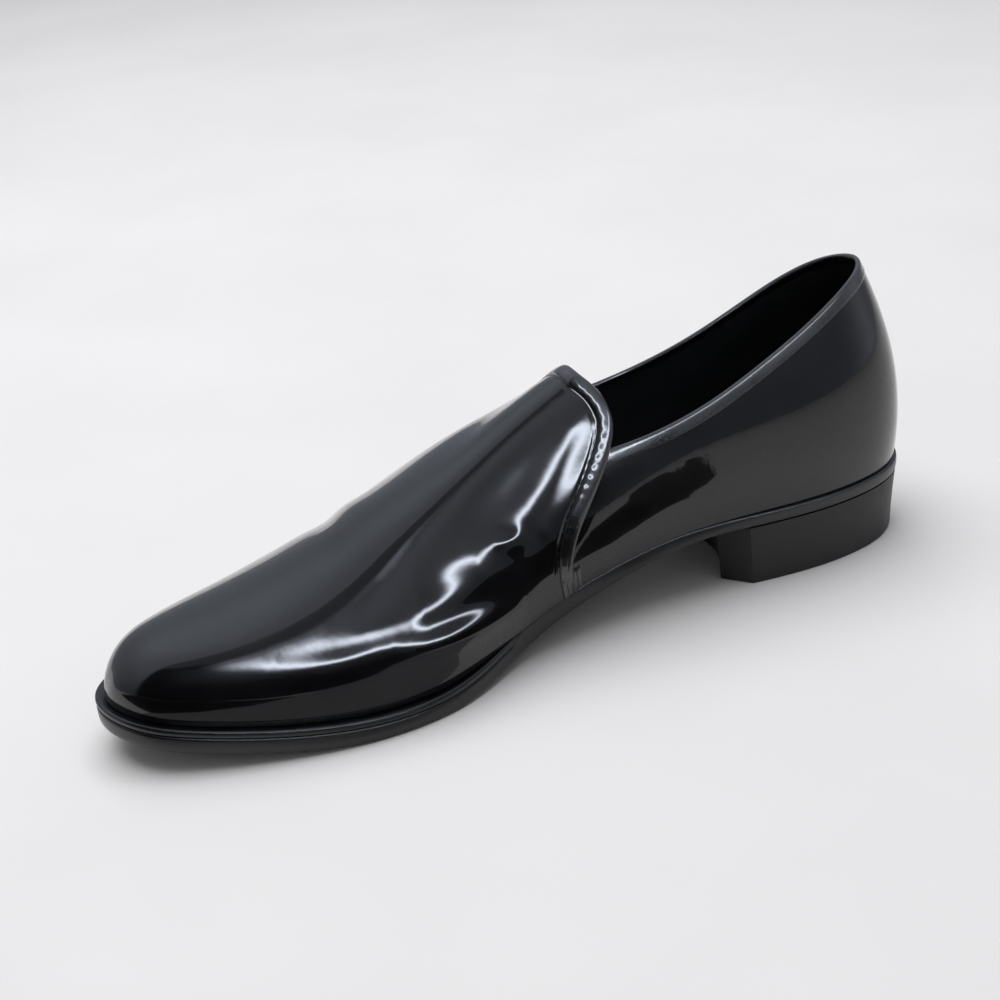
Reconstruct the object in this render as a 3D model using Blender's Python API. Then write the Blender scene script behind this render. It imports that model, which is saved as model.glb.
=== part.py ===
# Patent leather loafer, right shoe, built as separate pieces in one shared frame.
# Sizes are in millimetres in the tables and become metres when a mesh is made.
# X runs heel to toe, Y points to the inner side of the foot, Z is up.
import bpy
import bmesh
import numpy as np
from mathutils import Matrix

# Driving sizes of the shoe
GAP = 0.3
QUARTER_WALL = 1.6
VAMP_OUT = 1.0
VAMP_IN = -1.0
WELT_THICK = 2.6
WELT_REACH = 5.0
HEEL_BREAST = 82.0
HEEL_TAPER = 0.955
BREAST_HOLLOW = 10.0
BREAST_INNER = 20.5
INSOLE_THICK = 2.0
PAD_THICK = 1.0
PAD_FRONT = 98.0
VAMP_TRIM_WIDE = 5.2
COLLAR_TRIM_OUT = 4.4
COLLAR_TRIM_IN = 3.2
TRIM_THICK = 0.9
QUARTER_FRONT = 0.575

# The last: one row per section, from the back of the heel to the tip of the toe.
# Feather line (where upper meets sole): x, inner y, outer y, height z.
# Crown (top of the section): x, y, z.
# Wall and turn: how far each side leans out, and where it turns over the top.
COLUMNS = ("x", "y_in", "y_out", "z_feather", "crown_x", "crown_y", "crown_z",
           "wall_in", "wall_out", "wall_up", "turn_in", "turn_out", "turn_up")
LAST = (
    (-2.5, 2.0, 2.0, 29.5, 20.5, 2.0, 130.0, .050, .050, .34, .40, .40, .80),
    (4.0, 19.5, -15.0, 29.5, 25.0, 2.0, 130.0, .050, .050, .34, .40, .36, .80),
    (27.5, 30.5, -27.0, 29.5, 38.0, 2.0, 129.0, .045, .045, .33, .40, .30, .80),
    (63.5, 31.0, -29.5, 29.5, 66.5, 2.5, 120.0, .062, .055, .32, .43, .28, .79),
    (97.5, 27.0, -35.0, 28.0, 97.5, 3.0, 105.0, .120, .078, .33, .52, .40, .78),
    (130.0, 25.5, -42.5, 21.5, 128.0, 3.0, 89.3, .185, .085, .33, .60, .54, .78),
    (164.0, 30.5, -47.5, 14.0, 162.0, 3.5, 74.0, .150, .065, .33, .62, .80, .78),
    (197.0, 42.0, -48.5, 9.3, 195.0, 4.0, 60.5, .060, .055, .34, .66, .72, .78),
    (227.5, 43.8, -44.0, 9.3, 225.5, 5.0, 48.8, .050, .050, .36, .70, .70, .80),
    (256.0, 38.3, -33.5, 12.2, 254.0, 5.2, 41.5, .050, .050, .38, .74, .74, .84),
    (282.0, 29.2, -20.6, 16.2, 280.0, 5.5, 38.0, .050, .050, .42, .76, .76, .88),
    (296.0, 20.3, -8.3, 18.8, 294.3, 5.8, 33.5, .035, .035, .45, .76, .76, .90),
    (302.5, 5.9, 5.9, 20.2, 302.5, 5.9, 20.2, .000, .000, .45, .76, .76, .90),
)
# Topline of the quarters: x along the shoe, height on the inner side, height on the outer side
TOPLINE = ((-6, 105.2, 105.2), (8, 104.6, 104.6), (28, 98.2, 98.2), (44, 91.2, 90.6), (62, 83.5, 82.0),
           (84, 75.0, 73.0), (105, 69.5, 67.5), (122, 67.0, 65.5), (150, 63.0, 61.5), (180, 55.0, 54.0))
# Rear edge of the vamp: t across the shoe (-1 outer foot, 0 crown, 1 inner foot), x of the edge
VAMP_EDGE = ((-1.0, 160.0), (-.87, 162.5), (-.76, 163.0), (-.66, 160.0), (-.58, 153.5), (-.51, 144.0),
             (-.45, 134.5), (-.38, 128.2), (-.28, 126.2), (-.15, 126.3), (0.0, 127.0), (.15, 126.0), (.3, 123.0),
             (.42, 121.0), (.52, 122.0), (.6, 127.0), (.68, 134.5), (.76, 142.0), (.85, 146.0), (1.0, 143.5))
# Sole edge beyond the feather line: x, inner side, outer side
SOLE_REACH = ((-10, 0.8, 0.8), (70, 0.8, 0.8), (100, -0.2, 0.8), (130, -0.6, 1.2), (160, 0.2, 2.4),
              (185, 3.0, 3.8), (210, 4.3, 4.3), (260, 4.3, 4.3), (310, 4.3, 4.3))
# Outsole thickness: x, thickness
SOLE_THICK = ((-10, 5.0), (88, 5.0), (125, 7.0), (165, 8.6), (190, 9.0), (310, 9.0))


def spline(knots, values, flat_start=False, flat_end=False):
    """Smooth cubic curve through the rows, with level or free ends."""
    k = np.asarray(knots, float)
    v = np.asarray(values, float)
    n = len(k)
    h = np.diff(k)
    a = np.zeros((n, n))
    b = np.zeros(n)
    for i in range(1, n - 1):
        a[i, i - 1:i + 2] = h[i], 2 * (h[i - 1] + h[i]), h[i - 1]
        b[i] = 3 * (h[i] * (v[i] - v[i - 1]) / h[i - 1] + h[i - 1] * (v[i + 1] - v[i]) / h[i])
    a[0, :2] = (1, 0) if flat_start else (2, 1)
    b[0] = 0 if flat_start else 3 * (v[1] - v[0]) / h[0]
    a[-1, -2:] = (0, 1) if flat_end else (1, 2)
    b[-1] = 0 if flat_end else 3 * (v[-1] - v[-2]) / h[-1]
    m = np.linalg.solve(a, b)

    def curve(x):
        x = np.asarray(x, float)
        i = np.clip(np.searchsorted(k, x, side="right") - 1, 0, n - 2)
        u = (x - k[i]) / h[i]
        return (v[i] * (1 + 2 * u) * (1 - u) ** 2 + v[i + 1] * u * u * (3 - 2 * u)
                + h[i] * (m[i] * u * (1 - u) ** 2 + m[i + 1] * u * u * (u - 1)))
    return curve


def last_curves():
    """One curve per column of the last, along s from the heel (0) to the toe tip (1)."""
    rows = {c: np.array([r[i] for r in LAST]) for i, c in enumerate(COLUMNS)}
    half = (rows["y_in"] - rows["y_out"]) / 2
    s = np.concatenate([[0], np.cumsum(np.hypot(np.diff(rows["x"]), np.diff(half)))])
    s /= s[-1]
    curves = {c: spline(s, rows[c], c not in ("y_in", "y_out"), c in ("x", "crown_x")) for c in COLUMNS}
    level = spline(rows["x"], rows["z_feather"], True)
    tip = rows["x"][-1]
    rise = (level(tip) - level(tip - 1))

    def ground(x):
        return level(np.clip(x, rows["x"][0], tip)) + np.maximum(x - tip, 0) * rise
    curves["z_feather"] = lambda q: ground(curves["x"](q))
    return curves, ground


CURVE, GROUND = last_curves()


def basis(t):
    """Seven cubic blending weights across a section, t from -1 to 1."""
    knots = np.array([0, 0, 0, 0, 1, 2, 3, 4, 4, 4, 4.0])
    u = np.clip((np.asarray(t) + 1) * 2, 0, 4 - 1e-9)
    n = [((knots[i] <= u) & (u < knots[i + 1])).astype(float) for i in range(10)]
    for p in range(1, 4):
        m = []
        for i in range(10 - p):
            up, down = knots[i + p] - knots[i], knots[i + p + 1] - knots[i + 1]
            left = (u - knots[i]) / up * n[i] if up > 0 else 0 * u
            right = (knots[i + p + 1] - u) / down * n[i + 1] if down > 0 else 0 * u
            m.append(left + right)
        n = m
    return np.stack(n, -1)


def feather(s, side):
    """Feather line in plan and its outward plan direction, side 1 inner and -1 outer."""
    column = "y_in" if side > 0 else "y_out"
    e = 1e-3

    def foot(q):
        return np.stack([CURVE["x"](q), CURVE[column](q)], -1)
    tangent = foot(np.clip(s + e, 0, 1)) - foot(np.clip(s - e, 0, 1))
    tangent = np.where((s <= e)[..., None], np.array([0.0, side]), tangent)
    tangent = np.where((s >= 1 - e)[..., None], np.array([0.0, -side]), tangent)
    tangent = tangent / np.linalg.norm(tangent, axis=-1, keepdims=True)
    out = np.stack([-side * tangent[..., 1], side * tangent[..., 0]], -1)
    return foot(s), out


def surface(s, t):
    """Point on the last: s from heel to toe, t from the outer foot over the crown to the inner foot."""
    s, t = np.broadcast_arrays(np.asarray(s, float), np.asarray(t, float))
    g = {c: CURVE[c](s) for c in COLUMNS}
    h = g["crown_z"] - g["z_feather"]
    top = np.stack([g["crown_x"], g["crown_y"]], -1)
    ends = {}
    for side, wall, shoulder in ((1, "wall_in", "turn_in"), (-1, "wall_out", "turn_out")):
        foot, out = feather(s, side)
        lean = foot + out * (g[wall] * h)[..., None]
        turn = top + g[shoulder][..., None] * (foot - top)
        heights = (g["z_feather"], g["z_feather"] + g["wall_up"] * h, g["z_feather"] + g["turn_up"] * h)
        ends[side] = [np.concatenate([p, z[..., None]], -1) for p, z in zip((foot, lean, turn), heights)]
    crown = np.concatenate([top, g["crown_z"][..., None]], -1)
    middle = (6 * crown - ends[1][2] - ends[-1][2]) / 4
    points = np.stack(ends[-1] + [middle] + ends[1][::-1], -2)
    return np.einsum("...j,...jk->...k", basis(t), points)


def slopes(s, t):
    """Change of the surface along s and along t."""
    e = 2e-4
    a, b = np.clip(s - e, 0, 1), np.clip(s + e, 0, 1)
    c, d = np.clip(t - e, -1, 1), np.clip(t + e, -1, 1)
    along = (surface(b, t) - surface(a, t)) / (b - a)[..., None]
    across = (surface(s, d) - surface(s, c)) / (d - c)[..., None]
    return along, across


def offset(s, t, out):
    """Point set off from the last by a distance; near the foot it moves level."""
    s, t, out = np.broadcast_arrays(np.asarray(s, float), np.asarray(t, float), np.asarray(out, float))
    q = np.clip(s, 0, 0.997)
    along, across = slopes(q, t)
    n = np.cross(along, across)
    n = n / np.linalg.norm(n, axis=-1, keepdims=True)
    level = np.clip((np.abs(t) - 0.85) / 0.15, 0, 1)
    n = n * np.stack([np.ones_like(level), np.ones_like(level), 1 - level], -1)
    n = n / np.linalg.norm(n, axis=-1, keepdims=True)
    return surface(s, t) + n * out[..., None]


def table(rows, column=1):
    """Smooth curve through a table's first column and another one."""
    a = np.array(rows, float)
    return spline(a[:, 0], a[:, column])


def straight(rows, column=1):
    """Straight runs between the rows of a table."""
    a = np.array(rows, float)
    return lambda x: np.interp(x, a[:, 0], a[:, column])


TOP_HEIGHT = {1: table(TOPLINE, 1), -1: table(TOPLINE, 2)}
EDGE_X = table(VAMP_EDGE)
S_FINE = np.linspace(0, 1, 2001)
X_FINE = CURVE["x"](S_FINE)


def edge_table():
    """The vamp's rear edge as s for a fine row of t."""
    t = np.linspace(-1, 1, 321)
    s = np.linspace(0.25, 0.7, 361)
    line = surface(s[:, None], t[None, :])[..., 0]
    return t, np.array([np.interp(x, line[:, i], s) for i, x in enumerate(EDGE_X(t))])


def top_table(side):
    """The topline on one side as t for a fine row of s."""
    s = np.linspace(0, 0.7, 281)
    low = np.full_like(s, 0.02)
    high = np.ones_like(s)
    for _ in range(30):
        mid = (low + high) / 2
        p = surface(s, side * mid)
        above = p[..., 2] > TOP_HEIGHT[side](p[..., 0])
        low = np.where(above, mid, low)
        high = np.where(above, high, mid)
    return s, (low + high) / 2


EDGE = edge_table()
TOP = {side: top_table(side) for side in (1, -1)}


def edge_s(t):
    """Where the vamp's rear edge runs, as s for each t."""
    return np.interp(t, *EDGE)


def top_t(s, side):
    """Where the topline runs on one side, as t for each s."""
    return np.interp(s, *TOP[side])


def make_material(name, rgb, roughness):
    m = bpy.data.materials.new(name)
    m.use_nodes = True
    shader = m.node_tree.nodes["Principled BSDF"]
    shader.inputs["Base Color"].default_value = (*rgb, 1)
    shader.inputs["Roughness"].default_value = roughness
    return m


def solid(name, points, faces, material):
    """Closed mesh from millimetre points, normals facing out."""
    mesh = bpy.data.meshes.new(name)
    mesh.from_pydata([tuple(p) for p in np.asarray(points) * 0.001], [], faces)
    bm = bmesh.new()
    bm.from_mesh(mesh)
    bmesh.ops.remove_doubles(bm, verts=bm.verts, dist=1e-6)
    bmesh.ops.dissolve_degenerate(bm, edges=bm.edges, dist=1e-6)
    bmesh.ops.triangulate(bm, faces=bm.faces)
    bmesh.ops.recalc_face_normals(bm, faces=bm.faces)
    if bm.calc_volume(signed=True) < 0:
        bmesh.ops.reverse_faces(bm, faces=bm.faces)
    bm.to_mesh(mesh)
    bm.free()
    obj = bpy.data.objects.new(name, mesh)
    bpy.context.scene.collection.objects.link(obj)
    mesh.materials.append(material)
    return obj


def boolean(obj, other, kind):
    """Join or cut with an exact Boolean and keep the result as a plain mesh."""
    m = obj.modifiers.new(kind.lower(), "BOOLEAN")
    m.operation = kind
    m.solver = "EXACT"
    m.object = other
    graph = bpy.context.evaluated_depsgraph_get()
    mesh = bpy.data.meshes.new_from_object(obj.evaluated_get(graph))
    obj.modifiers.clear()
    obj.data = mesh
    bpy.data.objects.remove(other)
    bm = bmesh.new()
    bm.from_mesh(mesh)
    bmesh.ops.remove_doubles(bm, verts=bm.verts, dist=2e-6)
    bmesh.ops.dissolve_degenerate(bm, edges=bm.edges, dist=2e-6)
    bmesh.ops.triangulate(bm, faces=bm.faces)
    bm.to_mesh(mesh)
    bm.free()
    return obj


def shell(outer, inner):
    """Points and faces of a wall between two equal grids, closed all round."""
    rows, cols = outer.shape[:2]
    points = np.concatenate([outer.reshape(-1, 3), inner.reshape(-1, 3)])
    size = rows * cols

    def at(i, j, layer):
        return layer * size + i * cols + j
    faces = []
    for i in range(rows - 1):
        for j in range(cols - 1):
            faces.append((at(i, j, 0), at(i + 1, j, 0), at(i + 1, j + 1, 0), at(i, j + 1, 0)))
            faces.append((at(i, j, 1), at(i, j + 1, 1), at(i + 1, j + 1, 1), at(i + 1, j, 1)))
    for i in range(rows - 1):
        for j in (0, cols - 1):
            faces.append((at(i, j, 0), at(i + 1, j, 0), at(i + 1, j, 1), at(i, j, 1)))
    for j in range(cols - 1):
        for i in (0, rows - 1):
            faces.append((at(i, j, 0), at(i, j + 1, 0), at(i, j + 1, 1), at(i, j, 1)))
    return points, faces


def tube(sections, closed=False):
    """Points and faces of a strip swept through a list of equal sections."""
    sections = np.asarray(sections)
    count, size = sections.shape[:2]
    points = sections.reshape(-1, 3)
    faces = []
    for i in range(count if closed else count - 1):
        k = (i + 1) % count
        for j in range(size):
            n = (j + 1) % size
            faces.append((i * size + j, k * size + j, k * size + n, i * size + n))
    if not closed:
        faces.append(tuple(range(size)))
        faces.append(tuple(range((count - 1) * size, count * size)))
    return points, faces


def quarters(material):
    """Side and back wall of the upper: a U-shaped strip from the feather up to the topline."""
    bend = np.array([0, .012, .028, .048, .07, .095, .12])
    run = np.concatenate([bend, np.linspace(.15, QUARTER_FRONT, 17)])
    rise = np.linspace(0, 1, 8)
    rows = []
    for side, s in ((-1, run[::-1]), (1, run[1:])):
        reach = top_t(s, side)
        rows.append((s, side * (1 - rise[None, :] * (1 - reach[:, None]))))
    s = np.concatenate([r[0] for r in rows])
    t = np.concatenate([r[1] for r in rows])
    outer = offset(s[:, None], t, 0.0)
    inner = offset(s[:, None], t, -QUARTER_WALL)
    return solid("upper", *shell(outer, inner), material)


def vamp(material):
    """Front of the upper: a dome from the rear edge of the tab down to the tip of the toe."""
    t = np.concatenate([np.linspace(-1, -.3, 13), np.linspace(-.22, .22, 6), np.linspace(.3, 1, 13)])
    share = np.concatenate([np.linspace(0, .87, 19), (.912, .955)])
    start = edge_s(t)
    s = start[None, :] + (1 - start[None, :]) * share[:, None]
    layers = []
    for out in (VAMP_OUT, VAMP_IN):
        grid = offset(s, t[None, :], out)
        tip = surface(1.0, 0.0) + np.array([out, 0, 0])
        layers.append(np.concatenate([grid, np.broadcast_to(tip, (1, len(t), 3))]))
    return solid("vamp", *shell(*layers), material)


def vamp_binding(material):
    """Bound edge of the vamp: an angle strip over the rear edge, lying on the vamp."""
    t = np.concatenate([np.linspace(-.93, -.3, 22), np.linspace(-.24, .24, 9), np.linspace(.3, .93, 22)])
    s = edge_s(t)
    e = 1e-3
    before, after = edge_s(t - e), edge_s(t + e)
    tangent = surface(after, t + e) - surface(before, t - e)
    along, across = slopes(s, t)
    normal = np.cross(along, across)
    normal /= np.linalg.norm(normal, axis=-1, keepdims=True)
    into = np.cross(normal, tangent)
    into /= np.linalg.norm(into, axis=-1, keepdims=True)
    into *= np.sign(np.sum(into * along, -1, keepdims=True))
    frame = np.stack([along, across], -1)
    step = np.array([np.linalg.lstsq(f, d, rcond=None)[0] for f, d in zip(frame, into)])
    edge = surface(s, t)
    line = np.where(t > 0, TOP_HEIGHT[1](edge[:, 0]), TOP_HEIGHT[-1](edge[:, 0]))
    free = np.clip((edge[:, 2] - line - 0.6) / 2.4, 0, 1)
    low = GAP + free * (VAMP_IN - GAP)
    face = VAMP_OUT + GAP
    top = face + TRIM_THICK
    back = -GAP - TRIM_THICK
    sections = []
    for d, o in ((VAMP_TRIM_WIDE, face), (-GAP, face), (-GAP, None), (back, None), (back, face + .1),
                 (back + .35, top - .2), (-.1, top), (VAMP_TRIM_WIDE - .3, top - .05), (VAMP_TRIM_WIDE, top - .3)):
        height = low if o is None else np.full_like(low, o)
        sections.append(offset(s + step[:, 0] * d, t + step[:, 1] * d, height))
    return solid("vamp_binding", *tube(np.stack(sections, 1)), material)


def collar_binding(material):
    """Bound collar: a channel over the topline of the quarters, ending behind the vamp."""
    fine = np.linspace(0.3, 0.7, 801)
    share = np.concatenate([[0, .03, .07, .12, .18, .245], np.linspace(.31, 1, 20)])
    face, top = GAP, GAP + TRIM_THICK
    back, rear = -QUARTER_WALL - GAP, -QUARTER_WALL - GAP - TRIM_THICK
    crest = -GAP - TRIM_THICK
    profile = ((COLLAR_TRIM_OUT, face), (-GAP, face), (-GAP, back), (COLLAR_TRIM_IN, back), (COLLAR_TRIM_IN, rear),
               (crest + .6, rear), (crest + .1, rear + .6), (crest, -.8), (crest + .1, .5), (crest + .6, top),
               (COLLAR_TRIM_OUT - .3, top), (COLLAR_TRIM_OUT, top - .3))
    sections = []
    for side, run in ((-1, share[::-1]), (1, share[1:])):
        strip = []
        for down, out in profile:
            reach = top_t(fine, side)
            per = np.linalg.norm(slopes(fine, side * reach)[1], axis=-1)
            stop = fine[np.argmin(np.abs(fine - edge_s(side * (reach + max(down, 0) / per))))]
            s = run * (stop - 4.2 / 330)
            reach = top_t(s, side)
            across = slopes(s, side * reach)[1]
            per = np.linalg.norm(across, axis=-1)
            p = offset(s, side * (reach + max(down, 0) / per), out)
            strip.append(p + side * across / per[:, None] * min(down, 0))
        sections.append(np.stack(strip, 1))
    sections = np.concatenate(sections)
    return solid("collar_binding", *tube(sections), material)


def rim(s, side, reach, height):
    """Line beside the feather line, its height worked out from each point's own x."""
    foot, out = feather(s, side)
    p = foot + out * (reach + 0 * s)[:, None]
    return np.concatenate([p, height(p[:, 0])[:, None]], -1)


def plate_rings(s, inner_reach, outer_reach, heights):
    """Closed plan rings at several heights, each with its own reach beyond the feather line."""
    return [(rim(s, 1, a, z), rim(s, -1, b, z)) for a, b, z in zip(inner_reach, outer_reach, heights)]


def plate(rings):
    """Points and faces of a plate from rings listed bottom to top; caps run straight across."""
    count = len(rings[0][0])
    points = np.concatenate([np.concatenate([p, q]) for p, q in rings])
    size = 2 * count
    loop = list(range(count)) + list(range(size - 1, count - 1, -1))
    faces = []
    for level in range(len(rings) - 1):
        for k in range(size):
            a, b = loop[k], loop[(k + 1) % size]
            faces.append((level * size + a, level * size + b, (level + 1) * size + b, (level + 1) * size + a))
    for level in (0, len(rings) - 1):
        for i in range(count - 1):
            o = level * size
            faces.append((o + i, o + i + 1, o + count + i + 1, o + count + i))
    return points, faces


def sole_run():
    ends = np.array([0, .008, .02, .036, .055, .078, .105])
    return np.concatenate([ends, np.linspace(.14, .86, 25), 1 - ends[::-1] * 1.0])


def sole_reach(s):
    x = CURVE["x"](s)
    return table(SOLE_REACH, 1)(x), table(SOLE_REACH, 2)(x)


def sole_top(x):
    return GROUND(x) - GAP


def sole_bottom(x):
    return np.maximum(sole_top(x) - straight(SOLE_THICK)(x), 0)


def outsole(material):
    """Full-length sole: flat under the ball and the heel, arched at the waist, sprung at the toe."""
    s = sole_run()
    a, b = sole_reach(s)
    heights = (sole_bottom, lambda x: sole_bottom(x) + .7, sole_top)
    rings = plate_rings(s, (a - .9, a, a), (b - .9, b, b), heights)
    body = solid("outsole", *plate(rings), material)
    cutter = solid("welt_cutter", *welt_strip(GAP, 6.0), material)
    return boolean(body, cutter, "DIFFERENCE")


def welt_strip(clear, beyond):
    """Ledge round the forepart, from the inner waist round the toe to the outer waist."""
    inner = np.concatenate([np.linspace(.555, .86, 12), [.9, .93, .955, .975, .99, 1.0]])
    outer = np.concatenate([np.linspace(.46, .86, 15), [.9, .93, .955, .975, .99]])
    low = -WELT_THICK - clear
    sections = []
    for side, run in ((1, inner), (-1, outer[::-1])):
        shift = np.zeros_like(run)
        shift[0 if side > 0 else -1] = -clear / 330
        s = run + shift
        reach = sole_reach(s)[0 if side > 0 else 1] + beyond
        near = -WELT_REACH - clear
        ease = 0.0 if clear else 0.5
        ring = []
        for r, up in ((near, low), (reach, low), (reach, beyond - ease), (reach - ease, beyond), (near, beyond)):
            ring.append(rim(s, side, r, lambda x, up=up: sole_top(x) + up))
        sections.append(np.stack(ring, 1))
    return tube(np.concatenate(sections))


def heel(material):
    """Heel block: the seat's outline, drawn in to the floor, with a cut inner corner and a hollow breast."""
    s_end = np.interp(HEEL_BREAST, X_FINE, S_FINE)
    s_cut = np.interp(HEEL_BREAST - 8.5, X_FINE, S_FINE)
    start = np.array([0, .008, .02, .036, .055, .078, .105, .135])
    inner = np.concatenate([start, np.linspace(.165, s_cut, 4)])
    outer = np.concatenate([start, np.linspace(.165, s_end, 5)])
    ring = []
    for side, run in ((-1, outer[::-1]), (1, inner[1:])):
        foot, out = feather(run, side)
        reach = sole_reach(run)[0 if side > 0 else 1] - 0.2
        ring.append(foot + out * reach[:, None])
    outline = np.concatenate(ring)
    u = np.linspace(0, 1, 10)[:-1]
    hollow = HEEL_BREAST - BREAST_HOLLOW * np.sin(np.pi * u)
    across = BREAST_INNER + u * (outline[0, 1] - BREAST_INNER)
    outline = np.concatenate([outline, np.stack([hollow, across], 1)])
    seat = sole_bottom(outline[:, 0]) - GAP
    centre = np.array([HEEL_BREAST * .5, 1.5])
    levels = []
    for z, k in ((0 * seat, HEEL_TAPER - .008), (0 * seat + .8, HEEL_TAPER), (seat, 1.0)):
        levels.append(np.concatenate([centre + (outline - centre) * k, z[:, None]], 1))
    return solid("heel", *tube(levels), material)


def footbed(name, s, inset, low, high, material):
    """Plate that lies inside the upper, a step in from its wall."""
    reach = (-inset, -inset)
    rings = plate_rings(s, reach, reach, (lambda x: GROUND(x) + low, lambda x: GROUND(x) + high))
    return solid(name, *plate(rings), material)


def insole(material):
    s = np.concatenate([[.012, .03, .055, .085], np.linspace(.12, .9, 24), [.925, .95, .972]])
    return footbed("insole", s, QUARTER_WALL + .45, 0.0, INSOLE_THICK, material)


def heel_pad(material):
    end = np.interp(PAD_FRONT, X_FINE, S_FINE)
    s = np.concatenate([[.02, .035, .055, .085], np.linspace(.12, end, 8)])
    low = INSOLE_THICK + GAP
    return footbed("heel_pad", s, QUARTER_WALL + .9, low, low + PAD_THICK, material)


def build():
    for obj in list(bpy.data.objects):
        bpy.data.objects.remove(obj)
    patent = make_material("patent_leather", (.008, .008, .010), .08)
    bound = make_material("bound_leather", (.010, .010, .011), .22)
    edge = make_material("sole_edge", (.022, .022, .024), .35)
    block = make_material("heel_block", (.014, .014, .015), .42)
    lining = make_material("lining_leather", (.012, .012, .012), .7)
    upper = boolean(quarters(patent), vamp(patent), "UNION")
    parts = [upper, vamp_binding(bound), collar_binding(bound), outsole(edge),
             solid("welt", *welt_strip(0.0, 0.0), edge), heel(block), insole(lining), heel_pad(lining)]
    low = np.min([np.min([v.co for v in p.data.vertices], axis=0) for p in parts], axis=0)
    high = np.max([np.max([v.co for v in p.data.vertices], axis=0) for p in parts], axis=0)
    middle = (low + high) / 2
    for p in parts:
        p.data.transform(Matrix.Translation((-middle[0], -middle[1], 0)))
        p.data.materials.clear()
        p.data.materials.append({"upper": patent, "vamp_binding": bound, "collar_binding": bound, "outsole": edge,
                                 "welt": edge, "heel": block, "insole": lining, "heel_pad": lining}[p.name])
        print(p.name, len(p.data.polygons), "triangles")
    print("size in mm", (high - low) * 1000, "moved by", -middle * 1000)


build()
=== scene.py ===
# %% [markdown]
# Patent leather loafer, right shoe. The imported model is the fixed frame: it gives the size and place of
# every part. This lesson dresses it with the pieces that the eye sees, each made from the same last shape.
# A last is the foot-shaped form that a shoe is pulled over, so one smooth surface can drive every piece.

# %% Load the frame
import math
import bpy
import bmesh
import numpy as np
from mathutils import Matrix, Vector


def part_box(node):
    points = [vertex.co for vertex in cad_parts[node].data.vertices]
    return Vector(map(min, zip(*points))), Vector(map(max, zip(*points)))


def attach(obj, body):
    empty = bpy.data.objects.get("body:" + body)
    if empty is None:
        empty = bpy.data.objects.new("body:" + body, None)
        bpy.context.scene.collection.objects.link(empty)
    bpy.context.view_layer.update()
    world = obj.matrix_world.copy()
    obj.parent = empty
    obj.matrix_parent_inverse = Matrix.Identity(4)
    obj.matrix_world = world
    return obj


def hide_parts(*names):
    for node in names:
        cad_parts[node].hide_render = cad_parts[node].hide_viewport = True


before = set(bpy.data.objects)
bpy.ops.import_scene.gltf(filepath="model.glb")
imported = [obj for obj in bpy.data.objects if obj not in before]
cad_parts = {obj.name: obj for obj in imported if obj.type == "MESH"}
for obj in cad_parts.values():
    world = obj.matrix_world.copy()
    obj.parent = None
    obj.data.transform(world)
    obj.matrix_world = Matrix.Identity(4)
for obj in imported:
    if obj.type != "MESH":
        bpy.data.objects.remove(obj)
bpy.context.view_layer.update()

# %% [markdown]
# The last. A shoemaker describes it by sections from heel to toe. Each row holds the feather line, where
# the upper meets the sole, the crown at the top, and how the two sides lean and turn over. A smooth curve
# runs through each column, so any point of the surface comes from two numbers: s from heel to toe, and t
# from the outer foot (-1) over the crown (0) to the inner foot (1). It could be sculpted, but with numbers
# every piece fits the same surface. Sizes are in millimetres here and become metres in the meshes.

# %% Sections of the last
COLUMNS = ("x", "y_in", "y_out", "z_feather", "crown_x", "crown_y", "crown_z",
           "wall_in", "wall_out", "wall_up", "turn_in", "turn_out", "turn_up")
LAST = (
    (-2.5, 2.0, 2.0, 29.5, 20.5, 2.0, 130.0, .050, .050, .34, .40, .40, .80),
    (4.0, 19.5, -15.0, 29.5, 25.0, 2.0, 130.0, .050, .050, .34, .40, .36, .80),
    (27.5, 30.5, -27.0, 29.5, 38.0, 2.0, 129.0, .045, .045, .33, .40, .30, .80),
    (63.5, 31.0, -29.5, 29.5, 66.5, 2.5, 120.0, .062, .055, .32, .43, .28, .79),
    (97.5, 27.0, -35.0, 28.0, 97.5, 3.0, 105.0, .120, .078, .33, .52, .40, .78),
    (130.0, 25.5, -42.5, 21.5, 128.0, 3.0, 89.3, .185, .085, .33, .60, .54, .78),
    (164.0, 30.5, -47.5, 14.0, 162.0, 3.5, 74.0, .150, .065, .33, .62, .80, .78),
    (197.0, 42.0, -48.5, 9.3, 195.0, 4.0, 60.5, .060, .055, .34, .66, .72, .78),
    (227.5, 43.8, -44.0, 9.3, 225.5, 5.0, 48.8, .050, .050, .36, .70, .70, .80),
    (256.0, 38.3, -33.5, 12.2, 254.0, 5.2, 41.5, .050, .050, .38, .74, .74, .84),
    (282.0, 29.2, -20.6, 16.2, 280.0, 5.5, 38.0, .050, .050, .42, .76, .76, .88),
    (296.0, 20.3, -8.3, 18.8, 294.3, 5.8, 33.5, .035, .035, .45, .76, .76, .90),
    (302.5, 5.9, 5.9, 20.2, 302.5, 5.9, 20.2, .000, .000, .45, .76, .76, .90),
)


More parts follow.
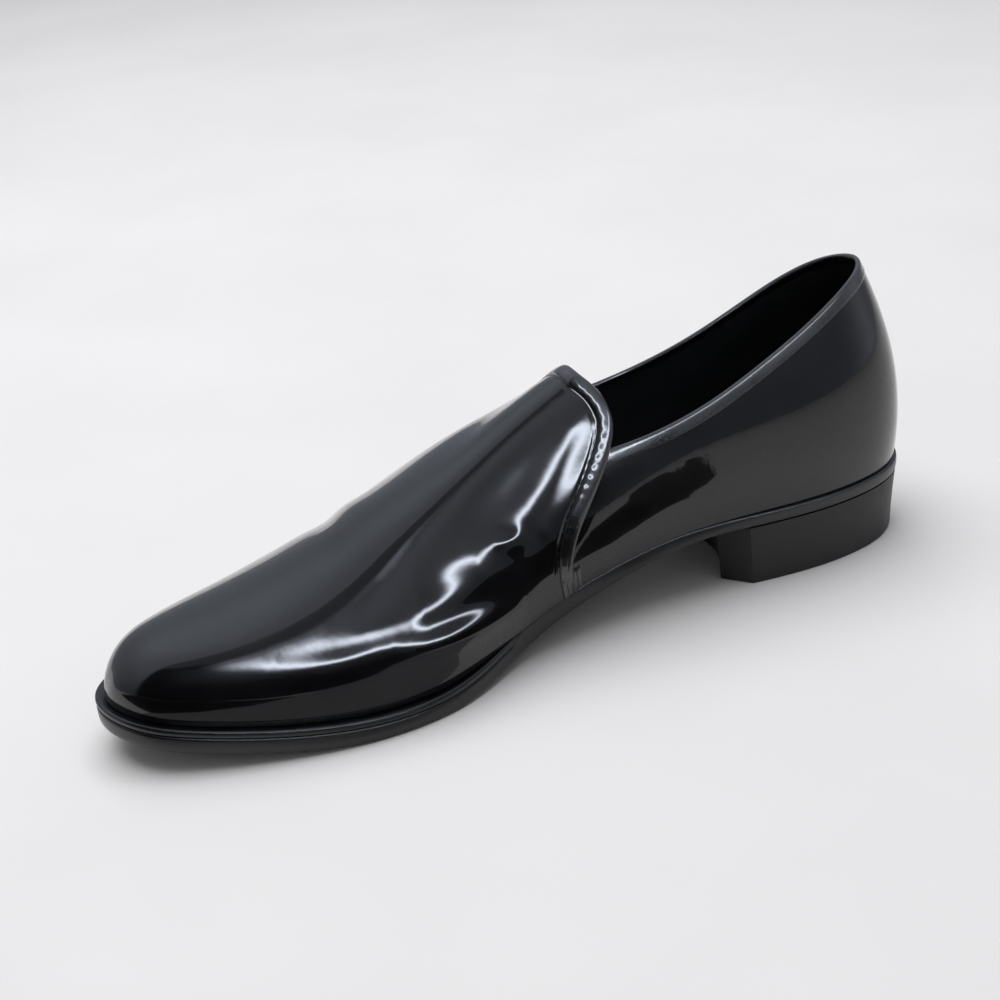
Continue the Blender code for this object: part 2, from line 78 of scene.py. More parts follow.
def spline(knots, values, flat_start=False, flat_end=False):
    """Smooth cubic curve through the rows, with level or free ends."""
    k = np.asarray(knots, float)
    v = np.asarray(values, float)
    n = len(k)
    h = np.diff(k)
    a = np.zeros((n, n))
    b = np.zeros(n)
    for i in range(1, n - 1):
        a[i, i - 1:i + 2] = h[i], 2 * (h[i - 1] + h[i]), h[i - 1]
        b[i] = 3 * (h[i] * (v[i] - v[i - 1]) / h[i - 1] + h[i - 1] * (v[i + 1] - v[i]) / h[i])
    a[0, :2] = (1, 0) if flat_start else (2, 1)
    b[0] = 0 if flat_start else 3 * (v[1] - v[0]) / h[0]
    a[-1, -2:] = (0, 1) if flat_end else (1, 2)
    b[-1] = 0 if flat_end else 3 * (v[-1] - v[-2]) / h[-1]
    m = np.linalg.solve(a, b)

    def curve(x):
        x = np.asarray(x, float)
        i = np.clip(np.searchsorted(k, x, side="right") - 1, 0, n - 2)
        u = (x - k[i]) / h[i]
        return (v[i] * (1 + 2 * u) * (1 - u) ** 2 + v[i + 1] * u * u * (3 - 2 * u)
                + h[i] * (m[i] * u * (1 - u) ** 2 + m[i + 1] * u * u * (u - 1)))
    return curve


def last_curves():
    """One curve per column of the last, along s from the heel (0) to the toe tip (1)."""
    rows = {c: np.array([r[i] for r in LAST]) for i, c in enumerate(COLUMNS)}
    half = (rows["y_in"] - rows["y_out"]) / 2
    s = np.concatenate([[0], np.cumsum(np.hypot(np.diff(rows["x"]), np.diff(half)))])
    s /= s[-1]
    curves = {c: spline(s, rows[c], c not in ("y_in", "y_out"), c in ("x", "crown_x")) for c in COLUMNS}
    level = spline(rows["x"], rows["z_feather"], True)
    tip = rows["x"][-1]
    rise = level(tip) - level(tip - 1)

    def ground(x):
        return level(np.clip(x, rows["x"][0], tip)) + np.maximum(x - tip, 0) * rise
    curves["z_feather"] = lambda q: ground(curves["x"](q))
    return curves, ground


CURVE, GROUND = last_curves()
print("last rows", len(LAST), "ground at the ball", round(float(GROUND(210.0)), 1), "mm")

# %% [markdown]
# Across each section seven blended points make the outline: foot, lean and turn on both sides, and the
# crown between them. Pieces of leather lie at a distance from this surface, so offset() moves a point along
# the outward normal. Near the foot it moves level, which keeps the lower edge of every layer on the feather
# line.

# %% Surface of the last


def basis(t):
    """Seven cubic blending weights across a section, t from -1 to 1."""
    knots = np.array([0, 0, 0, 0, 1, 2, 3, 4, 4, 4, 4.0])
    u = np.clip((np.asarray(t) + 1) * 2, 0, 4 - 1e-9)
    n = [((knots[i] <= u) & (u < knots[i + 1])).astype(float) for i in range(10)]
    for p in range(1, 4):
        m = []
        for i in range(10 - p):
            up, down = knots[i + p] - knots[i], knots[i + p + 1] - knots[i + 1]
            left = (u - knots[i]) / up * n[i] if up > 0 else 0 * u
            right = (knots[i + p + 1] - u) / down * n[i + 1] if down > 0 else 0 * u
            m.append(left + right)
        n = m
    return np.stack(n, -1)


def feather(s, side):
    """Feather line in plan and its outward plan direction, side 1 inner and -1 outer."""
    column = "y_in" if side > 0 else "y_out"
    e = 1e-3

    def foot(q):
        return np.stack([CURVE["x"](q), CURVE[column](q)], -1)
    tangent = foot(np.clip(s + e, 0, 1)) - foot(np.clip(s - e, 0, 1))
    tangent = np.where((s <= e)[..., None], np.array([0.0, side]), tangent)
    tangent = np.where((s >= 1 - e)[..., None], np.array([0.0, -side]), tangent)
    tangent = tangent / np.linalg.norm(tangent, axis=-1, keepdims=True)
    out = np.stack([-side * tangent[..., 1], side * tangent[..., 0]], -1)
    return foot(s), out


def surface(s, t):
    """Point on the last for s from heel to toe and t across."""
    s, t = np.broadcast_arrays(np.asarray(s, float), np.asarray(t, float))
    g = {c: CURVE[c](s) for c in COLUMNS}
    h = g["crown_z"] - g["z_feather"]
    top = np.stack([g["crown_x"], g["crown_y"]], -1)
    ends = {}
    for side, wall, shoulder in ((1, "wall_in", "turn_in"), (-1, "wall_out", "turn_out")):
        foot, out = feather(s, side)
        lean = foot + out * (g[wall] * h)[..., None]
        turn = top + g[shoulder][..., None] * (foot - top)
        heights = (g["z_feather"], g["z_feather"] + g["wall_up"] * h, g["z_feather"] + g["turn_up"] * h)
        ends[side] = [np.concatenate([p, z[..., None]], -1) for p, z in zip((foot, lean, turn), heights)]
    crown = np.concatenate([top, g["crown_z"][..., None]], -1)
    middle = (6 * crown - ends[1][2] - ends[-1][2]) / 4
    points = np.stack(ends[-1] + [middle] + ends[1][::-1], -2)
    return np.einsum("...j,...jk->...k", basis(t), points)


def slopes(s, t):
    """Change of the surface along s and along t."""
    e = 2e-4
    a, b = np.clip(s - e, 0, 1), np.clip(s + e, 0, 1)
    c, d = np.clip(t - e, -1, 1), np.clip(t + e, -1, 1)
    along = (surface(b, t) - surface(a, t)) / (b - a)[..., None]
    across = (surface(s, d) - surface(s, c)) / (d - c)[..., None]
    return along, across


def unit(v):
    """Vectors of length one."""
    return v / np.linalg.norm(v, axis=-1, keepdims=True)


def normals(s, t):
    """Outward directions, turned level near the foot."""
    along, across = slopes(np.clip(s, 0, 0.997), t)
    n = unit(np.cross(along, across))
    level = np.clip((np.abs(t) - 0.85) / 0.15, 0, 1)
    return unit(n * np.stack([np.ones_like(level), np.ones_like(level), 1 - level], -1))


def offset(s, t, out):
    """Point set off from the last by a distance."""
    s, t, out = np.broadcast_arrays(np.asarray(s, float), np.asarray(t, float), np.asarray(out, float))
    return surface(s, t) + normals(s, t) * out[..., None]


print("crown at mid length", surface(.5, 0.0).round(1), "mm")

# %% [markdown]
# Cutting lines. The upper is cut along two lines: the topline, where the foot goes in, and the vamp's rear
# edge with its tab. They could be cut from a mesh with a boolean, which leaves ragged faces. Here each line
# is a short table, turned once into s and t, so that a grid can start and end exactly on it. Topline rows
# hold x, the inner height and the outer height, and edge rows hold t and x.

# %% Cutting lines on the last
TOPLINE = ((-6, 105.2, 105.2), (8, 104.6, 104.6), (28, 98.2, 98.2), (44, 91.2, 90.6), (62, 83.5, 82.0),
           (84, 75.0, 73.0), (105, 69.5, 67.5), (122, 67.0, 65.5), (150, 63.0, 61.5), (180, 55.0, 54.0))
VAMP_EDGE = ((-1.0, 160.0), (-.87, 162.5), (-.76, 163.0), (-.66, 160.0), (-.58, 153.5), (-.51, 144.0),
             (-.45, 134.5), (-.38, 128.2), (-.28, 126.2), (-.15, 126.3), (0.0, 127.0), (.15, 126.0),
             (.3, 123.0), (.42, 121.0), (.52, 122.0), (.6, 127.0), (.68, 134.5), (.76, 142.0), (.85, 146.0),
             (1.0, 143.5))


def table(rows, column=1):
    """Smooth curve through a table's first column and another one."""
    a = np.array(rows, float)
    return spline(a[:, 0], a[:, column])


TOP_HEIGHT = {1: table(TOPLINE, 1), -1: table(TOPLINE, 2)}
EDGE_X = table(VAMP_EDGE)


def edge_table():
    """The vamp's rear edge as s for a fine row of t."""
    t = np.linspace(-1, 1, 641)
    s = np.linspace(0.25, 0.7, 541)
    line = surface(s[:, None], t[None, :])[..., 0]
    return t, np.array([np.interp(x, line[:, i], s) for i, x in enumerate(EDGE_X(t))])


def top_table(side):
    """The topline on one side as t for a fine row of s."""
    s = np.linspace(0, 0.7, 561)
    low = np.full_like(s, 0.02)
    high = np.ones_like(s)
    for _ in range(34):
        mid = (low + high) / 2
        p = surface(s, side * mid)
        above = p[..., 2] > TOP_HEIGHT[side](p[..., 0])
        low = np.where(above, mid, low)
        high = np.where(above, high, mid)
    return s, (low + high) / 2


EDGE = edge_table()
TOP = {side: top_table(side) for side in (1, -1)}


def edge_s(t):
    """Where the vamp's rear edge runs, as s for each t."""
    return np.interp(t, *EDGE)


def top_t(s, side):
    """Where the topline runs on one side, as t for each s."""
    return np.interp(s, *TOP[side])


print("vamp edge s from", round(EDGE[1].min(), 3), "to", round(EDGE[1].max(), 3))

# %% [markdown]
# The last starts at the heel, and the frame is centred on the shoe. The insole is cut a fixed step inside
# the feather line, so its box in the frame tells how far the last has to move.

# %% Place of the last in the frame
INSOLE_INSET = 2.05
INSOLE_RUN = np.concatenate([[.012, .03, .055, .085], np.linspace(.12, .9, 24), [.925, .95, .972]])


def rim(s, side, reach, height):
    """Line beside the feather line, its height worked out from each point's own x."""
    foot, out = feather(s, side)
    p = foot + out * (reach + 0 * s)[:, None]
    return np.concatenate([p, height(p[:, 0])[:, None]], -1)


insole_rim = np.concatenate([rim(INSOLE_RUN, side, -INSOLE_INSET, GROUND) for side in (1, -1)])
insole_low, insole_high = (np.array(c) * 1000 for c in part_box("insole"))
PLACE = ((insole_low + insole_high) - (insole_rim.min(0) + insole_rim.max(0))) / 2
PLACE[2] = 0
print("last moves by", PLACE.round(3), "mm")

# %% [markdown]
# Three small helpers make every mesh: wall() closes the space between two equal grids, tube() sweeps a
# section along a path, and piece() turns millimetre points into a smooth-shaded object with its place in
# the mesh.

# %% Mesh helpers


def wall(outer, inner):
    """Points and faces of a skin between two equal grids, closed all round."""
    rows, cols = outer.shape[:2]
    points = np.concatenate([outer.reshape(-1, 3), inner.reshape(-1, 3)])
    at = np.arange(2 * rows * cols).reshape(2, rows, cols)
    out, back = at
    faces = []
    for a, turned in ((out, False), (back, True)):
        quad = np.stack([a[:-1, :-1], a[1:, :-1], a[1:, 1:], a[:-1, 1:]], -1).reshape(-1, 4)
        faces.append(quad[:, ::-1] if turned else quad)
    for j in (0, -1):
        faces.append(np.stack([out[:-1, j], out[1:, j], back[1:, j], back[:-1, j]], -1))
    for i in (0, -1):
        faces.append(np.stack([out[i, :-1], out[i, 1:], back[i, 1:], back[i, :-1]], -1))
    return points, np.concatenate(faces).tolist()


def tube(sections, closed=False):
    """Points and faces of a strip swept through equal sections."""
    sections = np.asarray(sections)
    count, size = sections.shape[:2]
    at = np.arange(count * size).reshape(count, size)
    ahead = np.roll(at, -1, 0) if closed else at[1:]
    here = at if closed else at[:-1]
    quads = np.stack([here, ahead, np.roll(ahead, -1, 1), np.roll(here, -1, 1)], -1).reshape(-1, 4)
    faces = quads.tolist()
    if not closed:
        faces += [at[0].tolist(), at[-1].tolist()]
    return sections.reshape(-1, 3), faces


def piece(name, points, faces, material, sharp=50.0):
    """Closed smooth-shaded object from millimetre points on the last."""
    mesh = bpy.data.meshes.new(name)
    mesh.from_pydata(((np.asarray(points) + PLACE) * 0.001).tolist(), [], faces)
    bm = bmesh.new()
    bm.from_mesh(mesh)
    bmesh.ops.remove_doubles(bm, verts=bm.verts, dist=2e-6)
    bmesh.ops.dissolve_degenerate(bm, edges=bm.edges, dist=1e-6)
    bmesh.ops.recalc_face_normals(bm, faces=bm.faces)
    if bm.calc_volume(signed=True) < 0:
        bmesh.ops.reverse_faces(bm, faces=bm.faces)
    bm.to_mesh(mesh)
    bm.free()
    mesh.shade_smooth()
    mesh.set_sharp_from_angle(angle=math.radians(sharp))
    mesh.materials.append(material)
    obj = bpy.data.objects.new(name, mesh)
    bpy.context.scene.collection.objects.link(obj)
    print(name, len(mesh.polygons), "faces")
    return obj


def dress(obj, node, slot):
    """Parents a finished piece to the root and hides the frame part it replaces."""
    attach(obj, "root")
    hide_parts(node)
    return obj


print("mesh helpers", [f.__name__ for f in (wall, tube, piece, dress)])

# %% [markdown]
# Finishes. Each material starts from what the real one is, and its colours are sRGB hex values. Nodes could
# be placed by hand in the shader editor. In a script one helper adds a node, sets its fields and links its
# sockets, so that a finish reads as a short list. Patterns read Object coordinates, which keeps their sizes
# in millimetres.

# %% Node helper and colours


def linear(code):
    """Linear colour with alpha from an sRGB hex value."""
    parts = [int(code[i:i + 2], 16) / 255 for i in (1, 3, 5)]
    return tuple(c / 12.92 if c <= .04045 else ((c + .055) / 1.055) ** 2.4 for c in parts) + (1.0,)


def wire(tree, node, sockets):
    """Sets or links a node's sockets; a link is a (node, output) pair."""
    for key, value in sockets.items():
        if isinstance(value, tuple) and isinstance(value[0], bpy.types.Node):
            tree.links.new(value[0].outputs[value[1]], node.inputs[key])
        else:
            node.inputs[key].default_value = value


def add(tree, kind, sockets=None, ramp=(), **fields):
    """Adds a node with its fields and sockets and, for a colour ramp, its (position, hex colour) stops."""
    node = tree.nodes.new(kind)
    for key, value in fields.items():
        setattr(node, key, value)
    for i, (position, code) in enumerate(ramp):
        node.color_ramp.elements[i].position = position
        node.color_ramp.elements[i].color = linear(code)
    wire(tree, node, sockets or {})
    return node


def finish(name, **sockets):
    """New material with constant shader sockets; returns it with its tree, shader and Object coordinates."""
    material = bpy.data.materials.new(name)
    material.use_nodes = True
    tree = material.node_tree
    shader = tree.nodes["Principled BSDF"]
    wire(tree, shader, {key.replace("_", " "): value for key, value in sockets.items()})
    return material, tree, shader, (add(tree, "ShaderNodeTexCoord"), "Object")


def waves_per_metre(millimetres):
    """Texture scale for a pattern that repeats in a real size."""
    return 1000.0 / millimetres


print("a pattern of ten millimetres has scale", waves_per_metre(10))

# %% [markdown]
# Patent leather is smooth leather under a thick clear lacquer. The lacquer gives a mirror-like coat that is
# never quite flat: it wavers over about a centimetre and has a faint orange peel of a few millimetres. Fine
# dust and handling marks roughen the leather in patches. One glossy layer would look like plastic, so the
# lacquer is the shader's coat and the leather is its base.

# %% Patent leather


def patent_leather():
    material, tree, shader, where = finish("black patent leather, lacquered", IOR=1.5, Coat_Weight=1.0,
                                           Coat_Roughness=.035, Coat_IOR=1.5, Specular_IOR_Level=.1)
    dye = add(tree, "ShaderNodeTexNoise", {"Vector": where, "Scale": waves_per_metre(30), "Detail": 3.0})
    colour = add(tree, "ShaderNodeValToRGB", {"Fac": (dye, "Fac")}, ((.35, "#08080a"), (.65, "#0f0f11")))
    haze = add(tree, "ShaderNodeTexNoise", {"Vector": where, "Scale": waves_per_metre(9), "Detail": 6.0})
    rough = add(tree, "ShaderNodeMapRange", {"Value": (haze, "Fac"), "From Min": .3, "From Max": .7,
                                             "To Min": .2, "To Max": .34})
    waver = add(tree, "ShaderNodeTexNoise", {"Vector": where, "Scale": waves_per_metre(14), "Detail": 1.0})
    peel = add(tree, "ShaderNodeTexNoise", {"Vector": where, "Scale": waves_per_metre(2.6), "Detail": 2.0})
    slow = add(tree, "ShaderNodeBump", {"Height": (waver, "Fac"), "Distance": .00012, "Strength": .5})
    fine = add(tree, "ShaderNodeBump", {"Height": (peel, "Fac"), "Distance": .000016, "Strength": .5,
                                        "Normal": (slow, "Normal")})
    wire(tree, shader, {"Base Color": (colour, "Color"), "Roughness": (rough, "Result"),
                        "Normal": (fine, "Normal"), "Coat Normal": (fine, "Normal")})
    return material


PATENT = patent_leather()
print("finish", PATENT.name)

# %% [markdown]
# The bindings are narrow strips of softer calf, folded over the raw edges. Calf shows a fine grain of under
# a millimetre, has a lower gloss than the patent leather, and is worn paler in a few places. A cell pattern
# gives the grain, and one slow noise drives both wear and gloss, because on leather they change together.

# %% Binding leather


def binding_leather():
    material, tree, shader, where = finish("black calf binding, polished", IOR=1.5, Coat_Weight=1.0,
                                           Coat_Roughness=.06, Coat_IOR=1.5)
    wear = add(tree, "ShaderNodeTexNoise", {"Vector": where, "Scale": waves_per_metre(11), "Detail": 5.0})
    colour = add(tree, "ShaderNodeValToRGB", {"Fac": (wear, "Fac")}, ((.4, "#060607"), (.75, "#131315")))
    rough = add(tree, "ShaderNodeMapRange", {"Value": (wear, "Fac"), "From Min": .3, "From Max": .7,
                                             "To Min": .24, "To Max": .42})
    grain = add(tree, "ShaderNodeTexVoronoi", {"Vector": where, "Scale": waves_per_metre(.9)})
    bump = add(tree, "ShaderNodeBump", {"Height": (grain, "Distance"), "Distance": .00002, "Strength": .35})
    wire(tree, shader, {"Base Color": (colour, "Color"), "Roughness": (rough, "Result"),
                        "Normal": (bump, "Normal"), "Coat Normal": (bump, "Normal")})
    return material


BINDING = binding_leather()
print("finish", BINDING.name)

# %% [markdown]
# Inside, the shoe is lined with matt leather. The sole's edge is trimmed, inked and waxed, so it shows
# faint strokes along the edge and a soft shine. The heel block is moulded and only lightly buffed. The
# thread is waxed. One flat colour would look dead in soft light, so each gets a slow noise for its tone and
# gloss and a finer relief.

# %% Lining, sole edge, heel and thread


def lining_leather():
    material, tree, shader, where = finish("black lining leather, matt", IOR=1.45, Specular_IOR_Level=.35)
    rub = add(tree, "ShaderNodeTexNoise", {"Vector": where, "Scale": waves_per_metre(16), "Detail": 5.0})
    colour = add(tree, "ShaderNodeValToRGB", {"Fac": (rub, "Fac")}, ((.35, "#0a0a0a"), (.65, "#17161a")))
    rough = add(tree, "ShaderNodeMapRange", {"Value": (rub, "Fac"), "To Min": .6, "To Max": .85})
    grain = add(tree, "ShaderNodeTexVoronoi", {"Vector": where, "Scale": waves_per_metre(1.1)})
    bump = add(tree, "ShaderNodeBump", {"Height": (grain, "Distance"), "Distance": .0001, "Strength": .4})
    wire(tree, shader, {"Base Color": (colour, "Color"), "Roughness": (rough, "Result"),
                        "Normal": (bump, "Normal")})
    return material


def inked_edge():
    material, tree, shader, where = finish("leather sole edge, inked and waxed", IOR=1.5, Coat_Weight=.25,
                                           Coat_Roughness=.25)
    stroke = add(tree, "ShaderNodeMapping", {"Vector": where, "Scale": (.12, .12, 1.0)})
    lines = add(tree, "ShaderNodeTexNoise", {"Vector": (stroke, "Vector"), "Scale": waves_per_metre(1.2),
                                             "Detail": 4.0})
    colour = add(tree, "ShaderNodeValToRGB", {"Fac": (lines, "Fac")}, ((.35, "#040405"), (.65, "#0b0b0d")))
    rough = add(tree, "ShaderNodeMapRange", {"Value": (lines, "Fac"), "To Min": .25, "To Max": .48})
    bump = add(tree, "ShaderNodeBump", {"Height": (lines, "Fac"), "Distance": .00006, "Strength": .4})
    wire(tree, shader, {"Base Color": (colour, "Color"), "Roughness": (rough, "Result"),
                        "Normal": (bump, "Normal")})
    return material


def heel_rubber():
    material, tree, shader, where = finish("moulded heel block, buffed", IOR=1.5)
    scuff = add(tree, "ShaderNodeTexNoise", {"Vector": where, "Scale": waves_per_metre(7), "Detail": 8.0})
    colour = add(tree, "ShaderNodeValToRGB", {"Fac": (scuff, "Fac")}, ((.35, "#060607"), (.8, "#0f0f11")))
    rough = add(tree, "ShaderNodeMapRange", {"Value": (scuff, "Fac"), "To Min": .34, "To Max": .6})
    grit = add(tree, "ShaderNodeTexNoise", {"Vector": where, "Scale": waves_per_metre(.8), "Detail": 3.0})
    bump = add(tree, "ShaderNodeBump", {"Height": (grit, "Fac"), "Distance": .00008, "Strength": .3})
    wire(tree, shader, {"Base Color": (colour, "Color"), "Roughness": (rough, "Result"),
                        "Normal": (bump, "Normal")})
    return material


def waxed_thread():
    material, tree, shader, where = finish("black sewing thread, waxed", IOR=1.5, Roughness=.28,
                                           Coat_Weight=.5, Coat_Roughness=.1)
    twist = add(tree, "ShaderNodeTexNoise", {"Vector": where, "Scale": waves_per_metre(.5)})
    colour = add(tree, "ShaderNodeValToRGB", {"Fac": (twist, "Fac")}, ((.35, "#0a0a0b"), (.65, "#1e1e20")))
    bump = add(tree, "ShaderNodeBump", {"Height": (twist, "Fac"), "Distance": .00005, "Strength": .5})
    wire(tree, shader, {"Base Color": (colour, "Color"), "Normal": (bump, "Normal")})
    return material


LINING, EDGE_INK, HEEL_BLOCK, THREAD = lining_leather(), inked_edge(), heel_rubber(), waxed_thread()
print("finishes", [m.name for m in (LINING, EDGE_INK, HEEL_BLOCK, THREAD)])

# %% [markdown]
# Creases. Worn patent leather folds softly where the foot bends, and mirror gloss shows every dent. Each
# crease is given as a path of (x in millimetres, t) points on the last, with a width and a depth:
# below zero is a trough, above zero a ridge. The relief of a point is the sum over the creases, fading with
# distance and at the ends. A sculpting brush could press them in, but a list of paths can be read, moved
# and made again.

# %% Creases of the vamp
CREASES = (
    ("ridge down the instep",
     ((130, -.04), (146, .01), (160, .09), (176, .20), (195, .25), (214, .22)), 10.0, .75),
    ("hollow outside the ridge", ((136, -.24), (152, -.20), (168, -.10), (186, .0)), 10.0, -1.0),
    ("fold of the tab", ((122, .28), (135, .39), (146, .49), (156, .56), (164, .61)), 5.5, .55),
    ("hollow of the tab", ((128, .44), (138, .54), (147, .61), (155, .665)), 5.0, -.4),
    ("crumple below the tab", ((173, .60), (167, .635), (161, .665)), 3.5, .75),
    ("dent above the waist seam", ((154, .69), (162, .70), (171, .735)), 6.0, -.3),
    ("long groove", ((252, .60), (238, .63), (224, .665), (209, .70)), 3.2, -.3),
    ("flat above the recess", ((203, .60), (191, .64), (179, .68)), 8.0, -1.0),
    ("recess behind the ball", ((208, .73), (198, .75), (187, .765), (176, .78), (167, .79)), 5.0, -.85),
    ("roll behind the ball", ((216, .79), (202, .825), (189, .85), (176, .87), (165, .885)), 5.5, 1.5),
    ("flex fold, middle", ((221, .15), (222, .0), (220, -.3)), 7.0, -.4),
    ("flex fold, outer", ((218, -.2), (213, -.48), (206, -.7)), 6.5, -.8),
    ("roll behind the flex fold", ((207, -.15), (204, -.45), (198, -.68)), 6.0, .5),
    ("outer dent", ((190, -.5), (184, -.62), (178, -.7)), 6.0, -.8),
)


CREASE_END = 0.2


def on_last(x, t):
    """The s of points given by x in millimetres and t."""
    s = np.linspace(0.3, 0.99, 700)
    return np.array([np.interp(a, surface(s, b)[..., 0], s) for a, b in zip(x, t)])


def crease_path(points, count=24):
    """Smooth run of points in space through a crease's hand-placed points."""
    p = np.array(points, float)
    k = np.linspace(0, 1, len(p))
    u = np.linspace(0, 1, count)
    x, t = spline(k, p[:, 0])(u), spline(k, p[:, 1])(u)
    return surface(on_last(x, t), t)


def path_distance(points, path):
    """Distance from each point to a path and how far along it the nearest place is."""
    best = np.full(points.shape[:-1], 1e9)
    where = np.zeros(points.shape[:-1])
    for i, (a, b) in enumerate(zip(path[:-1], path[1:])):
        run = b - a
        u = np.clip(np.sum((points - a) * run, -1) / np.dot(run, run), 0, 1)
        d = np.linalg.norm(points - a - u[..., None] * run, axis=-1)
        near = d < best
        best = np.where(near, d, best)
        where = np.where(near, (i + u) / (len(path) - 1), where)
    return best, where


def crease_relief(points):
    """Height of all creases at points on the last, in millimetres."""
    total = np.zeros(points.shape[:-1])
    for _, route, width, depth in CREASES:
        d, u = path_distance(points, crease_path(route))
        swell = CREASE_END + (1 - CREASE_END) * np.sin(np.pi * u) ** .8
        total += depth * swell * np.exp(-(d / width) ** 2)
    return total


print("creases", [c[0] for c in CREASES])

# %% [markdown]
# The vamp is the front of the upper: one sheet of patent leather pulled over the toe, with a tab that
# stands up over the instep. A dense grid on the last gives a skin whose reflections stay smooth. Its rear
# edge follows the cutting line, a shallow groove runs beside the binding where the stitches pull it down,
# and the creases are added on top.

# %% Vamp skin
VAMP_OUT = 1.0
CLEAR = 0.02
BINDING_WIDE = 4.6
GROOVE_IN = 5.1
GROOVE_WIDE = 0.6
GROOVE_DEEP = 0.45
CALM_FROM = 4.0
CALM_OVER = 10.0
FOOT_CALM = 0.12
TIP_STOP = 0.985
VAMP_COLUMNS = 203
VAMP_ROWS = 196


def edge_directions(t):
    """On the vamp's rear edge: s, and the change of s and t for one millimetre into the vamp."""
    s = edge_s(t)
    e = 2e-3
    tangent = surface(edge_s(t + e), t + e) - surface(edge_s(t - e), t - e)
    along, across = slopes(s, t)
    normal = unit(np.cross(along, across))
    into = unit(np.cross(normal, tangent))
    into *= np.sign(np.sum(into * along, -1, keepdims=True))
    pairs = zip(np.stack([along, across], -1), into)
    step = np.array([np.linalg.lstsq(f, d, rcond=None)[0] for f, d in pairs])
    return s, step[:, 0], step[:, 1]


def inside_edge(t, millimetres, out):
    """Points a step into the vamp from its rear edge, at a distance off the last."""
    s, ds, dt = edge_directions(t)
    return offset(s + ds * millimetres, t + dt * millimetres, out)


def vamp_relief(points):
    """Creases and stitch groove; calm beside the binding and at the foot."""
    edge_t = np.linspace(-.95, .95, 160)
    edge = inside_edge(edge_t, 0.0, 0.0)
    d = path_distance(points, edge)[0]
    calm = np.clip((d - CALM_FROM) / CALM_OVER, 0, 1)
    groove = -GROOVE_DEEP * np.exp(-((d - GROOVE_IN) / GROOVE_WIDE) ** 2)
    return crease_relief(points) * calm + groove


def toe_grid(t, start, rows):
    """s and t of a grid from a line of starts to just before the toe tip."""
    share = np.linspace(0, TIP_STOP, rows)
    s = start[None, :] + (1 - start[None, :]) * share[:, None]
    return s, np.broadcast_to(t, s.shape)


def with_tip(grid, out):
    """Grid with the toe tip added as its last row."""
    tip = surface(1.0, 0.0) + np.array([out, 0, 0])
    return np.concatenate([grid, np.broadcast_to(tip, (1, grid.shape[1], 3))])


def vamp_skin():
    across = np.linspace(-1, 1, VAMP_COLUMNS)
    s, t = toe_grid(across, edge_s(across), VAMP_ROWS)
    relief = vamp_relief(surface(s, t)) * np.clip((1 - np.abs(t)) / FOOT_CALM, 0, 1)
    outer = with_tip(offset(s, t, VAMP_OUT + relief), VAMP_OUT)
    inner = with_tip(offset(s, t, CLEAR + np.minimum(relief, 0)), CLEAR)
    return piece("vamp", *wall(outer, inner), PATENT)


dress(vamp_skin(), "upper", "patent_leather")

# %% [markdown]
# The quarters are the sides and back: one U-shaped strip of the same leather from the feather line up to
# the topline. They lie under the vamp, so their surface is the last itself. Solidify could give the
# thickness. Here both faces come from the surface, which keeps the lower edge on the feather line.

# %% Quarter skin
QUARTER_FRONT = 0.575
SKIN = 0.8
WALL = 1.6


def quarter_grid(count, rows):
    """s and t of the strip, from the outer front round the heel to the inner front."""
    run = np.linspace(0, QUARTER_FRONT, count)
    rise = np.linspace(0, 1, rows)
    s_rows, t_rows = [], []
    for side, s in ((-1, run[::-1]), (1, run[1:])):
        reach = top_t(s, side)
        s_rows.append(np.broadcast_to(s[:, None], (len(s), rows)))
        t_rows.append(side * (1 - rise[None, :] * (1 - reach[:, None])))
    return np.concatenate(s_rows), np.concatenate(t_rows)


def quarter_skin():
    s, t = quarter_grid(150, 46)
    return piece("quarters", *wall(offset(s, t, 0.0), offset(s, t, -SKIN)), PATENT)


dress(quarter_skin(), "upper", "patent_leather")

# %% [markdown]
# Linings are separate skins behind the patent leather, as they are in the real shoe. The quarter lining is
# seen through the mouth. The vamp lining closes the toe room and backs the tab. One skin with two materials
# would be simpler, but then the edge of the leather would show no layers.

# %% Linings
LINING_FACE = -0.5
LINING_BACK = -1.3
FOLD_AT = 0.47
STEP = 0.002


def quarter_lining():
    s, t = quarter_grid(90, 20)
    return piece("quarter_lining", *wall(offset(s, t, -SKIN - CLEAR), offset(s, t, -WALL)), LINING)


def vamp_lining():
    fold = float(top_t(np.array([FOLD_AT]), 1)[0])
    side = np.linspace(fold + STEP, 1, 16)
    across = np.concatenate([-side[::-1], np.linspace(-fold, fold, 50), side])
    start = np.where(np.abs(across) > fold, QUARTER_FRONT + STEP, edge_s(across))
    s, t = toe_grid(across, start, 60)
    skins = [with_tip(offset(s, t, out), out) for out in (LINING_FACE, LINING_BACK)]
    return piece("vamp_lining", *wall(*skins), LINING)


for lining in (quarter_lining(), vamp_lining()):
    dress(lining, "upper", "lining_leather")

# %% [markdown]
# The vamp's rear edge is bound: a strip of calf is sewn on face down, rolled over the raw edge and turned
# under. The section is a padded half round. Over the quarters it ends on their surface. On the free tab it
# wraps right round. A bevelled curve would twist on the bent edge, so each line of the strip is laid on the
# surface by itself.

# %% Vamp binding
# Roll rows: step into the vamp and height; under rows: step and the height below on the free tab
ROLL = ((BINDING_WIDE, .8), (4.5, 1.1), (4.25, 1.35), (3.8, 1.52), (3.1, 1.66), (2.3, 1.72), (1.5, 1.7),
        (.7, 1.6), (-.1, 1.42), (-.75, 1.05), (-1.1, .45))
UNDER = ((-1.1, -.4), (-.9, -1.0), (-.4, -1.4), (.5, -1.65), (1.8, -1.7), (2.8, -1.6), (3.1, -1.3))
BINDING_END = 0.93
STITCH = 3.6
PUCKER = 0.03


